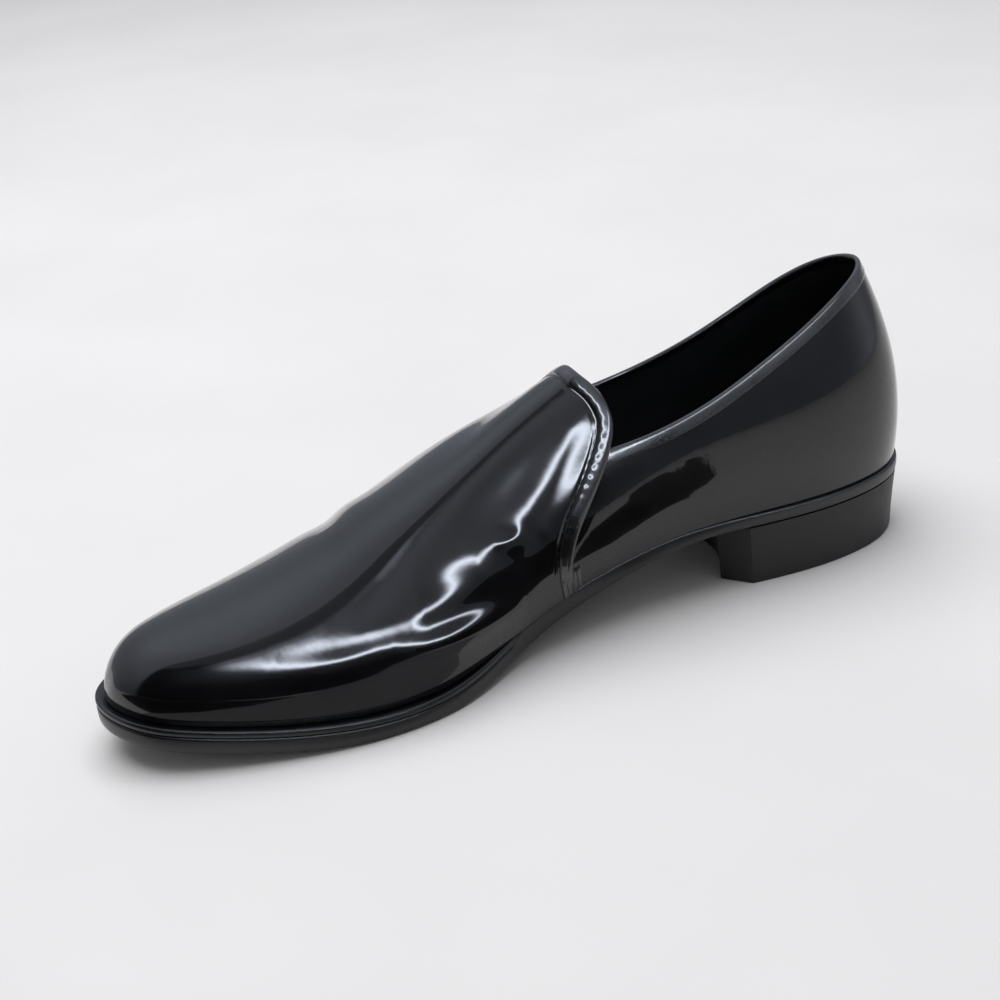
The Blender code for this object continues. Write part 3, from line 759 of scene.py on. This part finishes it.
def along_path(points):
    """Length run along a line of points, in millimetres."""
    return np.concatenate([[0], np.cumsum(np.linalg.norm(np.diff(points, axis=0), axis=1))])


def vamp_binding():
    t = np.linspace(-BINDING_END, BINDING_END, 620)
    edge = surface(edge_s(t), t)
    line = np.where(t > 0, TOP_HEIGHT[1](edge[:, 0]), TOP_HEIGHT[-1](edge[:, 0]))
    free = np.clip((edge[:, 2] - line - 0.6) / 2.4, 0, 1)
    run = along_path(inside_edge(t, GROOVE_IN, 1.0))
    uneven = 1 + .5 * np.sin(run / 4.3) + .4 * np.sin(run / 2.9 + 1)
    pull = PUCKER * uneven * np.cos(2 * np.pi * run / STITCH)
    strip = [inside_edge(t, d, o + pull * np.clip((d - .5) / 3.5, 0, 1) * (o > 1)) for d, o in ROLL]
    for d, on_tab in UNDER:
        strip.append(inside_edge(t, d, CLEAR + free * (on_tab - CLEAR)))
    return piece("vamp_binding_roll", *tube(np.stack(strip, 1)), BINDING, 70)


dress(vamp_binding(), "vamp_binding", "bound_leather")

# %% [markdown]
# The collar is bound in the same way, over the topline of the quarters. The path runs from the outer vamp
# edge round the heel to the inner vamp edge. Its section is flatter than the vamp's.

# %% Collar binding
COLLAR_OUT = 4.4
COLLAR_IN = 3.2
COLLAR_SHORT = 1.6
LAST_RUN = 330
# Rows: step below the topline and height off the quarters
COLLAR_ROLL = ((COLLAR_OUT, .01), (COLLAR_OUT - .05, .1), (COLLAR_OUT - .3, .15), (3.0, .17), (1.8, .17),
               (.8, .16), (.2, .1), (-.2, -.08), (-.45, -.4), (-.52, -.9), (-.42, -1.4), (-.1, -1.72),
               (.5, -1.9), (1.5, -1.95), (COLLAR_IN - .3, -1.9), (COLLAR_IN, -1.8), (COLLAR_IN, -1.62),
               (1.5, -1.62), (-.12, -1.2), (-.12, -.4), (1.5, .005))


def collar_points(side, share, down, out):
    """Points a step below the topline on one side, for shares of the way from the heel to the vamp."""
    fine = np.linspace(0.3, 0.7, 801)
    reach = top_t(fine, side)
    per = np.linalg.norm(slopes(fine, side * reach)[1], axis=-1)
    stop = fine[np.argmin(np.abs(fine - edge_s(side * (reach + max(down, 0) / per))))]
    s = share * (stop - COLLAR_SHORT / LAST_RUN)
    reach = top_t(s, side)
    across = slopes(s, side * reach)[1]
    per = np.linalg.norm(across, axis=-1)
    p = offset(s, side * (reach + max(down, 0) / per), out)
    return p + side * across / per[:, None] * min(down, 0)


def collar_line(count, down, out):
    """Line along the whole collar, outer side first."""
    share = np.linspace(0, 1, count)
    return np.concatenate([collar_points(-1, share[::-1], down, out), collar_points(1, share[1:], down, out)])


def collar_binding():
    strip = np.stack([collar_line(170, d, o) for d, o in COLLAR_ROLL], 1)
    return piece("collar_binding_roll", *tube(strip), BINDING, 70)


dress(collar_binding(), "collar_binding", "bound_leather")

# %% [markdown]
# Sole. A dress shoe's forepart carries a welt, a leather ledge that runs round the toe. Below it the
# outsole follows the same plan line: thick at the ball, thin under the arch, flat where it treads, and
# sprung up at the toe.

# %% Sole line
SOLE_REACH = ((-10, 0.8, 0.8), (70, 0.8, 0.8), (100, -0.2, 0.8), (130, -0.6, 1.2), (160, 0.2, 2.4),
              (185, 3.0, 3.8), (210, 4.3, 4.3), (260, 4.3, 4.3), (310, 4.3, 4.3))
SOLE_THICK = ((-10, 5.0), (88, 5.0), (125, 7.0), (165, 8.6), (190, 9.0), (310, 9.0))
WELT_THICK = 2.6
WELT_REACH = 5.0
WELT_START = {1: .555, -1: .46}
GAP = 0.3


def sole_reach(s, side):
    return table(SOLE_REACH, 1 if side > 0 else 2)(CURVE["x"](s))


def sole_top(x):
    return GROUND(x) - GAP


def sole_bottom(x):
    thick = np.array(SOLE_THICK, float)
    return np.maximum(sole_top(x) - np.interp(x, thick[:, 0], thick[:, 1]), 0)


def plan_run(count):
    """Stations from heel to toe, closer together at the two round ends."""
    u = np.linspace(0, 1, count)
    return 0.5 - 0.5 * np.cos(np.pi * u) * (1 - .25 * np.sin(np.pi * u) ** 2)


def plate(rings):
    """Points and faces of a plate from rings of inner and outer lines, listed bottom to top."""
    count = len(rings[0][0])
    size = 2 * count
    points = np.concatenate([np.concatenate(r) for r in rings])
    loop = np.concatenate([np.arange(count), np.arange(size - 1, count - 1, -1)])
    ahead = np.roll(loop, -1)
    faces = []
    for level in range(len(rings) - 1):
        low, high = level * size, (level + 1) * size
        faces += np.stack([low + loop, low + ahead, high + ahead, high + loop], -1).tolist()
    i = np.arange(count - 1)
    for o in (0, (len(rings) - 1) * size):
        faces += np.stack([o + i, o + i + 1, o + count + i + 1, o + count + i], -1).tolist()
    return points, faces


print("sole under the ball", round(float(sole_top(210.0) - sole_bottom(210.0)), 1), "mm thick")

# %% [markdown]
# Outsole and welt. The outsole is a stack of rings, each a pair of lines beside the feather line. Bevelling
# a flat plate would round all its edges alike, while rings let the tread's edge and the top edge turn
# differently. The welt is one section swept round the toe, with a groove on top beside the upper.

# %% Outsole and welt
EDGE_PROFILE = ((-1.5, 0.0), (-.6, .15), (-.2, .5), (0.0, 1.1), (.12, 2.4))
TOP_PROFILE = ((.12, 1.2), (0.0, .4), (-.35, .08), (-1.4, 0.0))


def outsole():
    s = plan_run(180)
    rings = []
    for turn, up in EDGE_PROFILE:
        rings.append([rim(s, side, sole_reach(s, side) + turn, lambda x, u=up: sole_bottom(x) + u)
                      for side in (1, -1)])
    for turn, down in TOP_PROFILE:
        pair = []
        for side in (1, -1):
            ledge = (WELT_THICK + .1) * np.clip((s - WELT_START[side]) / .004, 0, 1)
            line = rim(s, side, sole_reach(s, side) + turn, sole_top)
            line[:, 2] -= ledge + down
            pair.append(line)
        rings.append(pair)
    return piece("outsole_shaped", *plate(rings), EDGE_INK, 60)


WELT_PROFILE = ((-WELT_REACH, 2.55), (-1.0, 2.55), (-.25, 2.45), (0.0, 2.1), (.1, 1.3), (0.0, .55),
                (-.35, .12), (-1.0, 0.0), (-2.2, .12), (-3.4, .3), (-WELT_REACH, .25))


def welt():
    sections = []
    for side in (1, -1):
        u = np.linspace(0, 1, 130)
        s = WELT_START[side] + (1 - WELT_START[side]) * np.sin(u * np.pi / 2)
        s = s if side > 0 else s[-2::-1]
        ring = []
        for turn, down in WELT_PROFILE:
            reach = sole_reach(s, side) + turn if turn > -WELT_REACH else -WELT_REACH
            ring.append(rim(s, side, reach, lambda x, d=down: sole_top(x) - d))
        sections.append(np.stack(ring, 1))
    return piece("welt_ledge", *tube(np.concatenate(sections)), EDGE_INK, 60)


dress(outsole(), "outsole", "sole_edge")
dress(welt(), "welt", "sole_edge")

# %% [markdown]
# The heel block follows the seat's outline and draws in a little towards the floor, with the inner front
# corner cut away so that it does not catch the hem. Its breast is hollow and its edges are eased. A scaled
# extrusion would do for the taper, and stacked outlines also ease the edges in the same step.

# %% Heel
HEEL_BREAST = 82.0
HEEL_CUT = 8.5
HEEL_TAPER = 0.955
HEEL_WAIST = 0.006
HEEL_LEVELS = ((0.0, -.013), (.02, -.004), (.05, 0.0), (.35, 0.0), (.7, 0.0), (.96, 0.0), (.99, -.004))
BREAST_HOLLOW = 10.0
BREAST_INNER = 20.5


def heel():
    x_fine = CURVE["x"](np.linspace(0, 1, 2001))
    stations = np.interp([HEEL_BREAST - HEEL_CUT, HEEL_BREAST], x_fine, np.linspace(0, 1, 2001))
    ring = []
    for side, stop in ((-1, stations[1]), (1, stations[0])):
        s = stop * np.linspace(0, 1, 60)
        s = s[::-1] if side < 0 else s[1:]
        foot, out = feather(s, side)
        ring.append(foot + out * (sole_reach(s, side) - .2)[:, None])
    corner = np.linspace(ring[1][-1], [HEEL_BREAST, BREAST_INNER], 6)[1:]
    u = np.linspace(0, 1, 26)[1:-1]
    across = BREAST_INNER + u * (ring[0][0][1] - BREAST_INNER)
    breast = np.stack([HEEL_BREAST - BREAST_HOLLOW * np.sin(np.pi * u), across], 1)
    outline = np.concatenate(ring + [corner, breast])
    centre = np.array([HEEL_BREAST * .5, 1.5])
    seat = sole_bottom(outline[:, 0])
    levels = []
    for rise, eased in HEEL_LEVELS:
        k = HEEL_TAPER + (1 - HEEL_TAPER) * rise - HEEL_WAIST * math.sin(math.pi * rise) + eased
        z = rise * (seat - .05)
        levels.append(np.concatenate([centre + (outline - centre) * k, z[:, None]], 1))
    return piece("heel_block", *tube(levels), HEEL_BLOCK, 40)


dress(heel(), "heel", "heel_block")

# %% [markdown]
# The insole closes the shoe from inside, and a thin sock pad lies on it under the heel. Both dip a little
# towards the middle, as the foot presses them. Both are plates of rings like the outsole, with the inner
# rings set lower.

# %% Insole and heel pad
PAD_FRONT = 98.0


def footbed(name, run, inset, low, high, dip):
    """Plate inside the upper with rounded upper edges and a hollow middle."""
    rings = []
    for turn, z in ((0.0, low), (0.0, high - .5), (-.4, high), (-8.0, high - dip * .5), (-16.0, high - dip)):
        pair = []
        for side in (1, -1):
            half = (CURVE["y_in"](run) - CURVE["y_out"](run)) / 2
            reach = -inset + np.maximum(turn, -(half - inset) * .85)
            pair.append(rim(run, side, reach, lambda x, up=z: GROUND(x) + up))
        rings.append(pair)
    return piece(name, *plate(rings), LINING, 60)


pad_end = float(np.interp(PAD_FRONT, CURVE["x"](np.linspace(0, 1, 2001)), np.linspace(0, 1, 2001)))
INSOLE_FINE = .012 + .96 * plan_run(110)
PAD_FINE = .02 + (pad_end - .02) * np.linspace(0, 1, 60) ** 1.3
dress(footbed("insole_bed", INSOLE_FINE, INSOLE_INSET, 0.0, 2.0, .8), "insole", "lining_leather")
dress(footbed("heel_sock", PAD_FINE, 2.5, 2.05, 3.1, .5), "heel_pad", "lining_leather")

# %% [markdown]
# Stitches follow the bindings, so Geometry Nodes lays them. A path mesh carries the outward direction of
# the surface as an attribute. The tree resamples the path at the stitch spacing, turns a small rounded
# thread along it and against the surface, and realizes the copies. Every size is a named input of the tree.

# %% Stitch row tree


def stitch_tree():
    tree = bpy.data.node_groups.new("stitch row", "GeometryNodeTree")
    face = tree.interface
    face.new_socket("Geometry", in_out="INPUT", socket_type="NodeSocketGeometry")
    for label in ("Spacing", "Length", "Thread"):
        face.new_socket(label, in_out="INPUT", socket_type="NodeSocketFloat")
    face.new_socket("Finish", in_out="INPUT", socket_type="NodeSocketMaterial")
    face.new_socket("Geometry", in_out="OUTPUT", socket_type="NodeSocketGeometry")
    entry = add(tree, "NodeGroupInput")
    curve = add(tree, "GeometryNodeMeshToCurve", {"Mesh": (entry, "Geometry")})
    spaced = add(tree, "GeometryNodeResampleCurve", {"Curve": (curve, "Curve"), "Length": (entry, "Spacing")},
                 mode="LENGTH")
    tangent = add(tree, "GeometryNodeInputTangent")
    facing = add(tree, "GeometryNodeInputNamedAttribute", {"Name": "facing"}, data_type="FLOAT_VECTOR")
    first = add(tree, "FunctionNodeAlignRotationToVector", {"Vector": (tangent, "Tangent")}, axis="X")
    turn = add(tree, "FunctionNodeAlignRotationToVector",
               {"Rotation": (first, "Rotation"), "Vector": (facing, "Attribute")}, axis="Z", pivot_axis="X")
    bead = add(tree, "GeometryNodeMeshIcoSphere", {"Radius": .5, "Subdivisions": 2})
    smooth = add(tree, "GeometryNodeSetShadeSmooth", {"Geometry": (bead, "Mesh")})
    size = add(tree, "ShaderNodeCombineXYZ",
               {"X": (entry, "Length"), "Y": (entry, "Thread"), "Z": (entry, "Thread")})
    copies = add(tree, "GeometryNodeInstanceOnPoints",
                 {"Points": (spaced, "Curve"), "Instance": (smooth, "Geometry"),
                  "Rotation": (turn, "Rotation"), "Scale": (size, "Vector")})
    real = add(tree, "GeometryNodeRealizeInstances", {"Geometry": (copies, "Instances")})
    done = add(tree, "GeometryNodeSetMaterial",
               {"Geometry": (real, "Geometry"), "Material": (entry, "Finish")})
    add(tree, "NodeGroupOutput", {"Geometry": (done, "Geometry")})
    return tree


STITCH_TREE = stitch_tree()


def stitch_row(name, lines, facings, spacing, length, thread):
    """One object of stitches along several lines of millimetre points; sizes in millimetres."""
    mesh = bpy.data.meshes.new(name)
    points = np.concatenate(lines)
    starts = np.cumsum([0] + [len(p) for p in lines])
    edges = [(i, i + 1) for a, b in zip(starts[:-1], starts[1:]) for i in range(a, b - 1)]
    mesh.from_pydata(((points + PLACE) * .001).tolist(), edges, [])
    facing = mesh.attributes.new("facing", "FLOAT_VECTOR", "POINT")
    facing.data.foreach_set("vector", np.concatenate(facings).ravel())
    path = bpy.data.objects.new(name + "_path", mesh)
    bpy.context.scene.collection.objects.link(path)
    modifier = path.modifiers.new("stitches", "NODES")
    modifier.node_group = STITCH_TREE
    values = {"Spacing": spacing * .001, "Length": length * .001, "Thread": thread * .001, "Finish": THREAD}
    for socket in STITCH_TREE.interface.items_tree:
        if socket.in_out == "INPUT" and socket.name in values:
            modifier[socket.identifier] = values[socket.name]
    graph = bpy.context.evaluated_depsgraph_get()
    result = bpy.data.meshes.new_from_object(path.evaluated_get(graph))
    bpy.data.objects.remove(path)
    obj = bpy.data.objects.new(name, result)
    bpy.context.scene.collection.objects.link(obj)
    print(name, len(result.polygons), "faces")
    return obj


# %% [markdown]
# Two rows of stitches hold the bindings: one in the groove beside the vamp's binding and one on the collar.
# Both paths come from the surface, so the thread sinks in by the same amount all along.

# %% Stitches beside the vamp binding and on the collar
SINK = 0.02
VAMP_THREAD = (STITCH, 2.3, .34)
COLLAR_THREAD = (2.8, 1.9, .28)
TACK_THREAD = (1.4, 1.5, .45)
COLLAR_ROW = 3.5
COLLAR_LIFT = .15
row_t = np.linspace(-BINDING_END, BINDING_END, 260)
s_row, ds_row, dt_row = edge_directions(row_t)
groove_s, groove_t = s_row + ds_row * GROOVE_IN, row_t + dt_row * GROOVE_IN
vamp_line = offset(groove_s, groove_t, VAMP_OUT - GROOVE_DEEP + SINK)
vamp_facing = normals(groove_s, groove_t)
vamp_stitches = stitch_row("vamp_stitches", [vamp_line], [vamp_facing], *VAMP_THREAD)
dress(vamp_stitches, "vamp_binding", "bound_leather")
collar_out = collar_line(200, COLLAR_ROW, COLLAR_LIFT)
collar_facing = unit(collar_line(200, COLLAR_ROW, COLLAR_LIFT + 1) - collar_out)
collar_stitches = stitch_row("collar_stitches", [collar_out], [collar_facing], *COLLAR_THREAD)
dress(collar_stitches, "collar_binding", "bound_leather")

# %% [markdown]
# Where the binding runs out at the foot, a small leather patch covers the end of the seam. It is held by
# three short rows of stitches and one across their top. Both sides have one.

# %% Seam patches with bar tacks
PATCH_LONG = 9.0
PATCH_TOP = 0.895
PATCH_FOOT = 0.995
TACK_APART = 2.5


def patch_points(side, ahead, share, lift):
    """Points on a seam patch: millimetres ahead of the seam, share of the way down, lift off the patch."""
    t = side * (PATCH_TOP + (PATCH_FOOT - PATCH_TOP) * share)
    per = np.linalg.norm(slopes(edge_s(t), t)[0], axis=-1)
    s = edge_s(t) + ahead / per
    step = 1 / (1 + np.exp(-ahead * 1.6))
    return offset(s, t, .55 + 1.0 * step + lift), normals(s, t)


def seam_patch(side, label):
    run, drop = np.linspace(-.5, .5, 30) * PATCH_LONG, np.linspace(0, 1, 24)
    ahead, share = np.meshgrid(run, drop, indexing="ij")
    edge = np.minimum(1 - np.abs(ahead) * 2 / PATCH_LONG, 1 - np.abs(share - .5) * 2)
    round_off = -.35 * np.clip(1 - edge / .12, 0, 1) ** 2
    outer = patch_points(side, ahead, share, round_off)[0]
    inner = patch_points(side, ahead, share, -.5)[0]
    return piece("seam_patch_" + label, *wall(outer, inner), BINDING)


def tack_lines(side):
    """Three rows down the patch and one across its top."""
    rows = [(np.full(10, TACK_APART * k), np.linspace(.14, .92, 10)) for k in (-1, 0, 1)]
    rows.append((np.linspace(-1.35, 1.35, 10) * TACK_APART, np.full(10, .12)))
    pairs = [patch_points(side, ahead, share, .06) for ahead, share in rows]
    return [a for a, _ in pairs], [b for _, b in pairs]


for label, side in (("inner", 1), ("outer", -1)):
    dress(seam_patch(side, label), "upper", "bound_leather")
    dress(stitch_row("bar_tack_" + label, *tack_lines(side), *TACK_THREAD), "upper", "bound_leather")

# %% [markdown]
# Floor. The shoe stands on a pale, matt table. A plane could come from an operator. Here a small helper
# makes any flat sheet of the stage from its corners. The sheet reaches far past the frame, so that no edge
# shows.

# %% Floor
FLOOR_HALF = 6.0


def pale_floor():
    material, tree, shader, where = finish("pale matt table top", IOR=1.4, Specular_IOR_Level=.15)
    cloud = add(tree, "ShaderNodeTexNoise", {"Vector": where, "Scale": waves_per_metre(160), "Detail": 3.0})
    colour = add(tree, "ShaderNodeValToRGB", {"Fac": (cloud, "Fac")}, ((.35, "#EDECEE"), (.65, "#F1F0F2")))
    rough = add(tree, "ShaderNodeMapRange", {"Value": (cloud, "Fac"), "To Min": .7, "To Max": .8})
    wire(tree, shader, {"Base Color": (colour, "Color"), "Roughness": (rough, "Result")})
    return material


def stage_mesh(name, points, faces, material):
    """Mesh of the stage from points in metres."""
    mesh = bpy.data.meshes.new(name)
    mesh.from_pydata(points, [], faces)
    mesh.materials.append(material)
    obj = bpy.data.objects.new(name, mesh)
    bpy.context.scene.collection.objects.link(obj)
    print(name, len(mesh.polygons), "faces")
    return obj


floor_corners = [(FLOOR_HALF * x, FLOOR_HALF * y, 0) for x, y in ((-1, -1), (1, -1), (1, 1), (-1, 1))]
floor = stage_mesh("floor", floor_corners, [(0, 1, 2, 3)], pale_floor())

# %% [markdown]
# Light dome. Gloss lives from what it mirrors, so a dome that only mirror rays see stands round the table.
# A photo of a studio could light it. Here its glow is worked out for each direction, which keeps it smooth
# and easy to change. On the camera's side a narrow lamp hangs as a slanting line, with a bright panel above
# it and darkness below. The far side is pale.

# %% Light dome
DOME_RADIUS = 2.4
DOME_TINT = "#E6EEFD"
LAMP_GLOW = 22.0
LAMP_WIDE = 2.1
DARK_GLOW = 0.006
# Lamp rows: compass direction, height above the table, share of its full glow
LAMP_LINE = ((0, 66, .0), (28, 71, .0), (50, 72, .0), (62, 68, .12), (68, 61, .55), (73, 54, 1.0),
             (78, 46, 1.0), (84, 40, 1.0), (92, 36, 1.0), (100, 32.5, 1.0), (108, 29.5, 1.0), (118, 29, .9),
             (130, 29.5, .5), (142, 30, .0))


def ease(value, start, end):
    """Smooth step from 0 at start to 1 at end."""
    u = np.clip((value - start) / (end - start), 0, 1)
    return u * u * (3 - 2 * u)


def directions(azimuth, level):
    """Unit vectors for compass directions and heights above the table, in degrees."""
    a, e = np.radians(azimuth), np.radians(level)
    return np.stack([np.cos(a) * np.cos(e), np.sin(a) * np.cos(e), np.sin(e)], -1)


def dome_glow(azimuth, level):
    """Brightness of the dome for compass directions and heights above the table, in degrees."""
    lamp = np.array(LAMP_LINE, float)
    run = np.linspace(lamp[0, 0], lamp[-1, 0], 90)
    height = spline(lamp[:, 0], lamp[:, 1])
    away, where = path_distance(directions(azimuth, level), directions(run, height(run)))
    share = np.interp(run[0] + where * (run[-1] - run[0]), lamp[:, 0], lamp[:, 2])
    shine = LAMP_GLOW * share * np.exp(-(np.degrees(away) / LAMP_WIDE) ** 2)
    over = level - height(np.clip(azimuth, lamp[0, 0], lamp[-1, 0]))
    front = ease(azimuth, 4, 15) * (1 - ease(azimuth, 98, 112))
    panel = .30 + .58 * ease(over, 4, 28)
    lit = ease(over, -1, 1.5)
    facing = DARK_GLOW * (1 - lit) + panel * lit
    side = ease(azimuth, 98, 112) * (1 - ease(azimuth, 150, 180))
    beside = (.26 + .6 * ease(azimuth, 130, 165)) * (1 - lit) + panel * lit
    halo = .32 * np.exp(-((azimuth + 75) / 28) ** 2) * ease(level, 25, 55)
    behind = .32 + .66 * ease(level, 0, 68) + halo
    return shine + front * facing + (1 - front) * (side * beside + (1 - side) * behind)


def glow_finish():
    material = bpy.data.materials.new("light dome cloth")
    material.use_nodes = True
    tree = material.node_tree
    tree.nodes.clear()
    glow = add(tree, "ShaderNodeAttribute", attribute_name="glow")
    light = add(tree, "ShaderNodeEmission", {"Color": linear(DOME_TINT), "Strength": (glow, "Fac")})
    add(tree, "ShaderNodeOutputMaterial", {"Surface": (light, "Emission")})
    material.cycles.emission_sampling = "NONE"
    return material


def mirror_only(obj):
    """Hides a stage piece from everything but mirror rays."""
    obj.visible_camera = False
    obj.visible_diffuse = False
    obj.visible_shadow = False
    return obj


def light_dome():
    azimuth = np.concatenate([np.linspace(-180, -3, 60), np.linspace(0, 134, 135), np.linspace(137, 180, 16)])
    level = np.concatenate([np.linspace(0, 80, 161), np.linspace(81, 90, 10)])
    a, e = np.meshgrid(azimuth, level, indexing="ij")
    points = DOME_RADIUS * directions(a, e)
    at = np.arange(a.size).reshape(a.shape)
    quads = np.stack([at[:-1, :-1], at[:-1, 1:], at[1:, 1:], at[1:, :-1]], -1).reshape(-1, 4)
    obj = stage_mesh("light_dome", points.reshape(-1, 3).tolist(), quads.tolist(), glow_finish())
    obj.data.attributes.new("glow", "FLOAT", "POINT").data.foreach_set("value", dome_glow(a, e).ravel())
    return mirror_only(obj)


dome = light_dome()

# %% [markdown]
# Dark cards lie and stand beside the shoe, again for mirror rays alone. They put the long black shape on
# the quarter and keep the foot of the vamp dark in front of the toe and behind the ball. Black flags serve
# the same end in a studio. The grey card in front of the toe is painted shade: it darkens the table seen in
# the mirror there, as the shoe's shadow does. The flat ones lie just off the table, so that the two don't
# fight.

# %% Dark cards
CARD_LIFT = 0.0015
CARD_TOE = ((.176, .042), (.153, .074), (.142, .119), (.174, .42), (.9, 1.6), (1.6, .2), (.4, -.06))
CARD_FRONT = ((.03, .055), (.13, .052), (.176, .03), (.176, .042), (.153, .074), (.142, .119), (.174, .42),
              (.3, 2.0), (-.25, 2.0), (-.069, .568), (-.026, .153), (-.006, .085))
CARD_QUARTER = ((-.030, .060), (-.046, .056), (-.058, .062), (-.070, .072), (-.083, .085), (-.109, .137),
                (-.140, .227), (-.212, .432), (-.252, .551), (-.235, .560), (-.120, .247), (-.073, .168),
                (-.042, .089))
CARD_BALL = ((-.030, .075, 0), (.045, .095, .030), (.045, .095, .044), (-.030, .075, .046))


def cards(name, shapes, low_tone, high_tone):
    """Flat cards that only mirror rays see; a corner without a height lies on the table."""
    material, tree, shader, where = finish(name.replace("_", " "), Roughness=.9, Specular_IOR_Level=.1)
    felt = add(tree, "ShaderNodeTexNoise", {"Vector": where, "Scale": waves_per_metre(40)})
    colour = add(tree, "ShaderNodeValToRGB", {"Fac": (felt, "Fac")}, ((.35, low_tone), (.65, high_tone)))
    wire(tree, shader, {"Base Color": (colour, "Color")})
    points, faces = [], []
    for card in shapes:
        faces.append(list(range(len(points), len(points) + len(card))))
        points += [(x, y, sum(z) + CARD_LIFT) for x, y, *z in card]
    return mirror_only(stage_mesh(name, points, faces, material))


black_cards = cards("black_cards", (CARD_TOE, CARD_QUARTER, CARD_BALL), "#050506", "#0a0a0b")
# Painted shade: this grey card, seen only in mirrors, stands in for the shoe's shadow on the table in front
# of the toe.
painted_shade_card = cards("painted_shade_card", (CARD_FRONT,), "#A2A2A6", "#A8A8AC")

# %% [markdown]
# Lights. The soft shadow on the table comes from a wide square lamp above and a pale sky all round. The
# lamp is hidden from mirrors, because the dome already gives the gloss its shapes. A sun would draw a hard
# shadow.

# %% Soft box and sky
BOX_AT = Vector((.1, -.35, 1.7))
BOX_WIDE = 1.8
BOX_POWER = 30
SKY_GLOW = .30


def soft_box():
    light = bpy.data.lights.new("soft_box", "AREA")
    light.size = BOX_WIDE
    light.energy = BOX_POWER
    obj = bpy.data.objects.new("soft_box", light)
    obj.location = BOX_AT
    obj.rotation_euler = (-BOX_AT).to_track_quat("-Z", "Y").to_euler()
    obj.visible_glossy = False
    bpy.context.scene.collection.objects.link(obj)
    return obj


soft_box()
sky = bpy.data.worlds.new("pale studio")
bpy.context.scene.world = sky
sky.use_nodes = True
wire(sky.node_tree, sky.node_tree.nodes["Background"], {"Color": linear("#F2F1F0"), "Strength": SKY_GLOW})
bpy.context.scene.view_settings.view_transform = "Standard"
print("sky", sky.name, "soft box", BOX_POWER, "watts")

# %% [markdown]
# Camera. The photograph's camera was found by matching the shoe's outline: it stands on the inner front
# side, looks down by about a third of a right angle, and is rolled a little. The same place is kept, so the
# shoe is seen at the same angle, and the camera only turns to centre it and zooms in until it fills the
# frame.

# %% Camera
CAMERA_AT = Vector((.2065, .4991, .3223))
CAMERA_UP = Vector((-.29636, -.46434, .83460))
AIM_AT = Vector((.004, .0, .046))
PHOTO_FOCAL = 1063.0
ZOOM = 1.62
SENSOR = 36.0
FRAME = 1000.0


def photo_camera():
    data = bpy.data.cameras.new("photo_camera")
    data.sensor_width = SENSOR
    data.lens = SENSOR * PHOTO_FOCAL * ZOOM / FRAME
    data.clip_start = .01
    obj = bpy.data.objects.new("photo_camera", data)
    forward = (AIM_AT - CAMERA_AT).normalized()
    right = forward.cross(CAMERA_UP).normalized()
    up = right.cross(forward)
    turn = Matrix((right, up, -forward)).transposed()
    obj.matrix_world = Matrix.Translation(CAMERA_AT) @ turn.to_4x4()
    bpy.context.scene.collection.objects.link(obj)
    return obj


bpy.context.scene.camera = photo_camera()
print("lens", round(bpy.context.scene.camera.data.lens, 1), "mm")
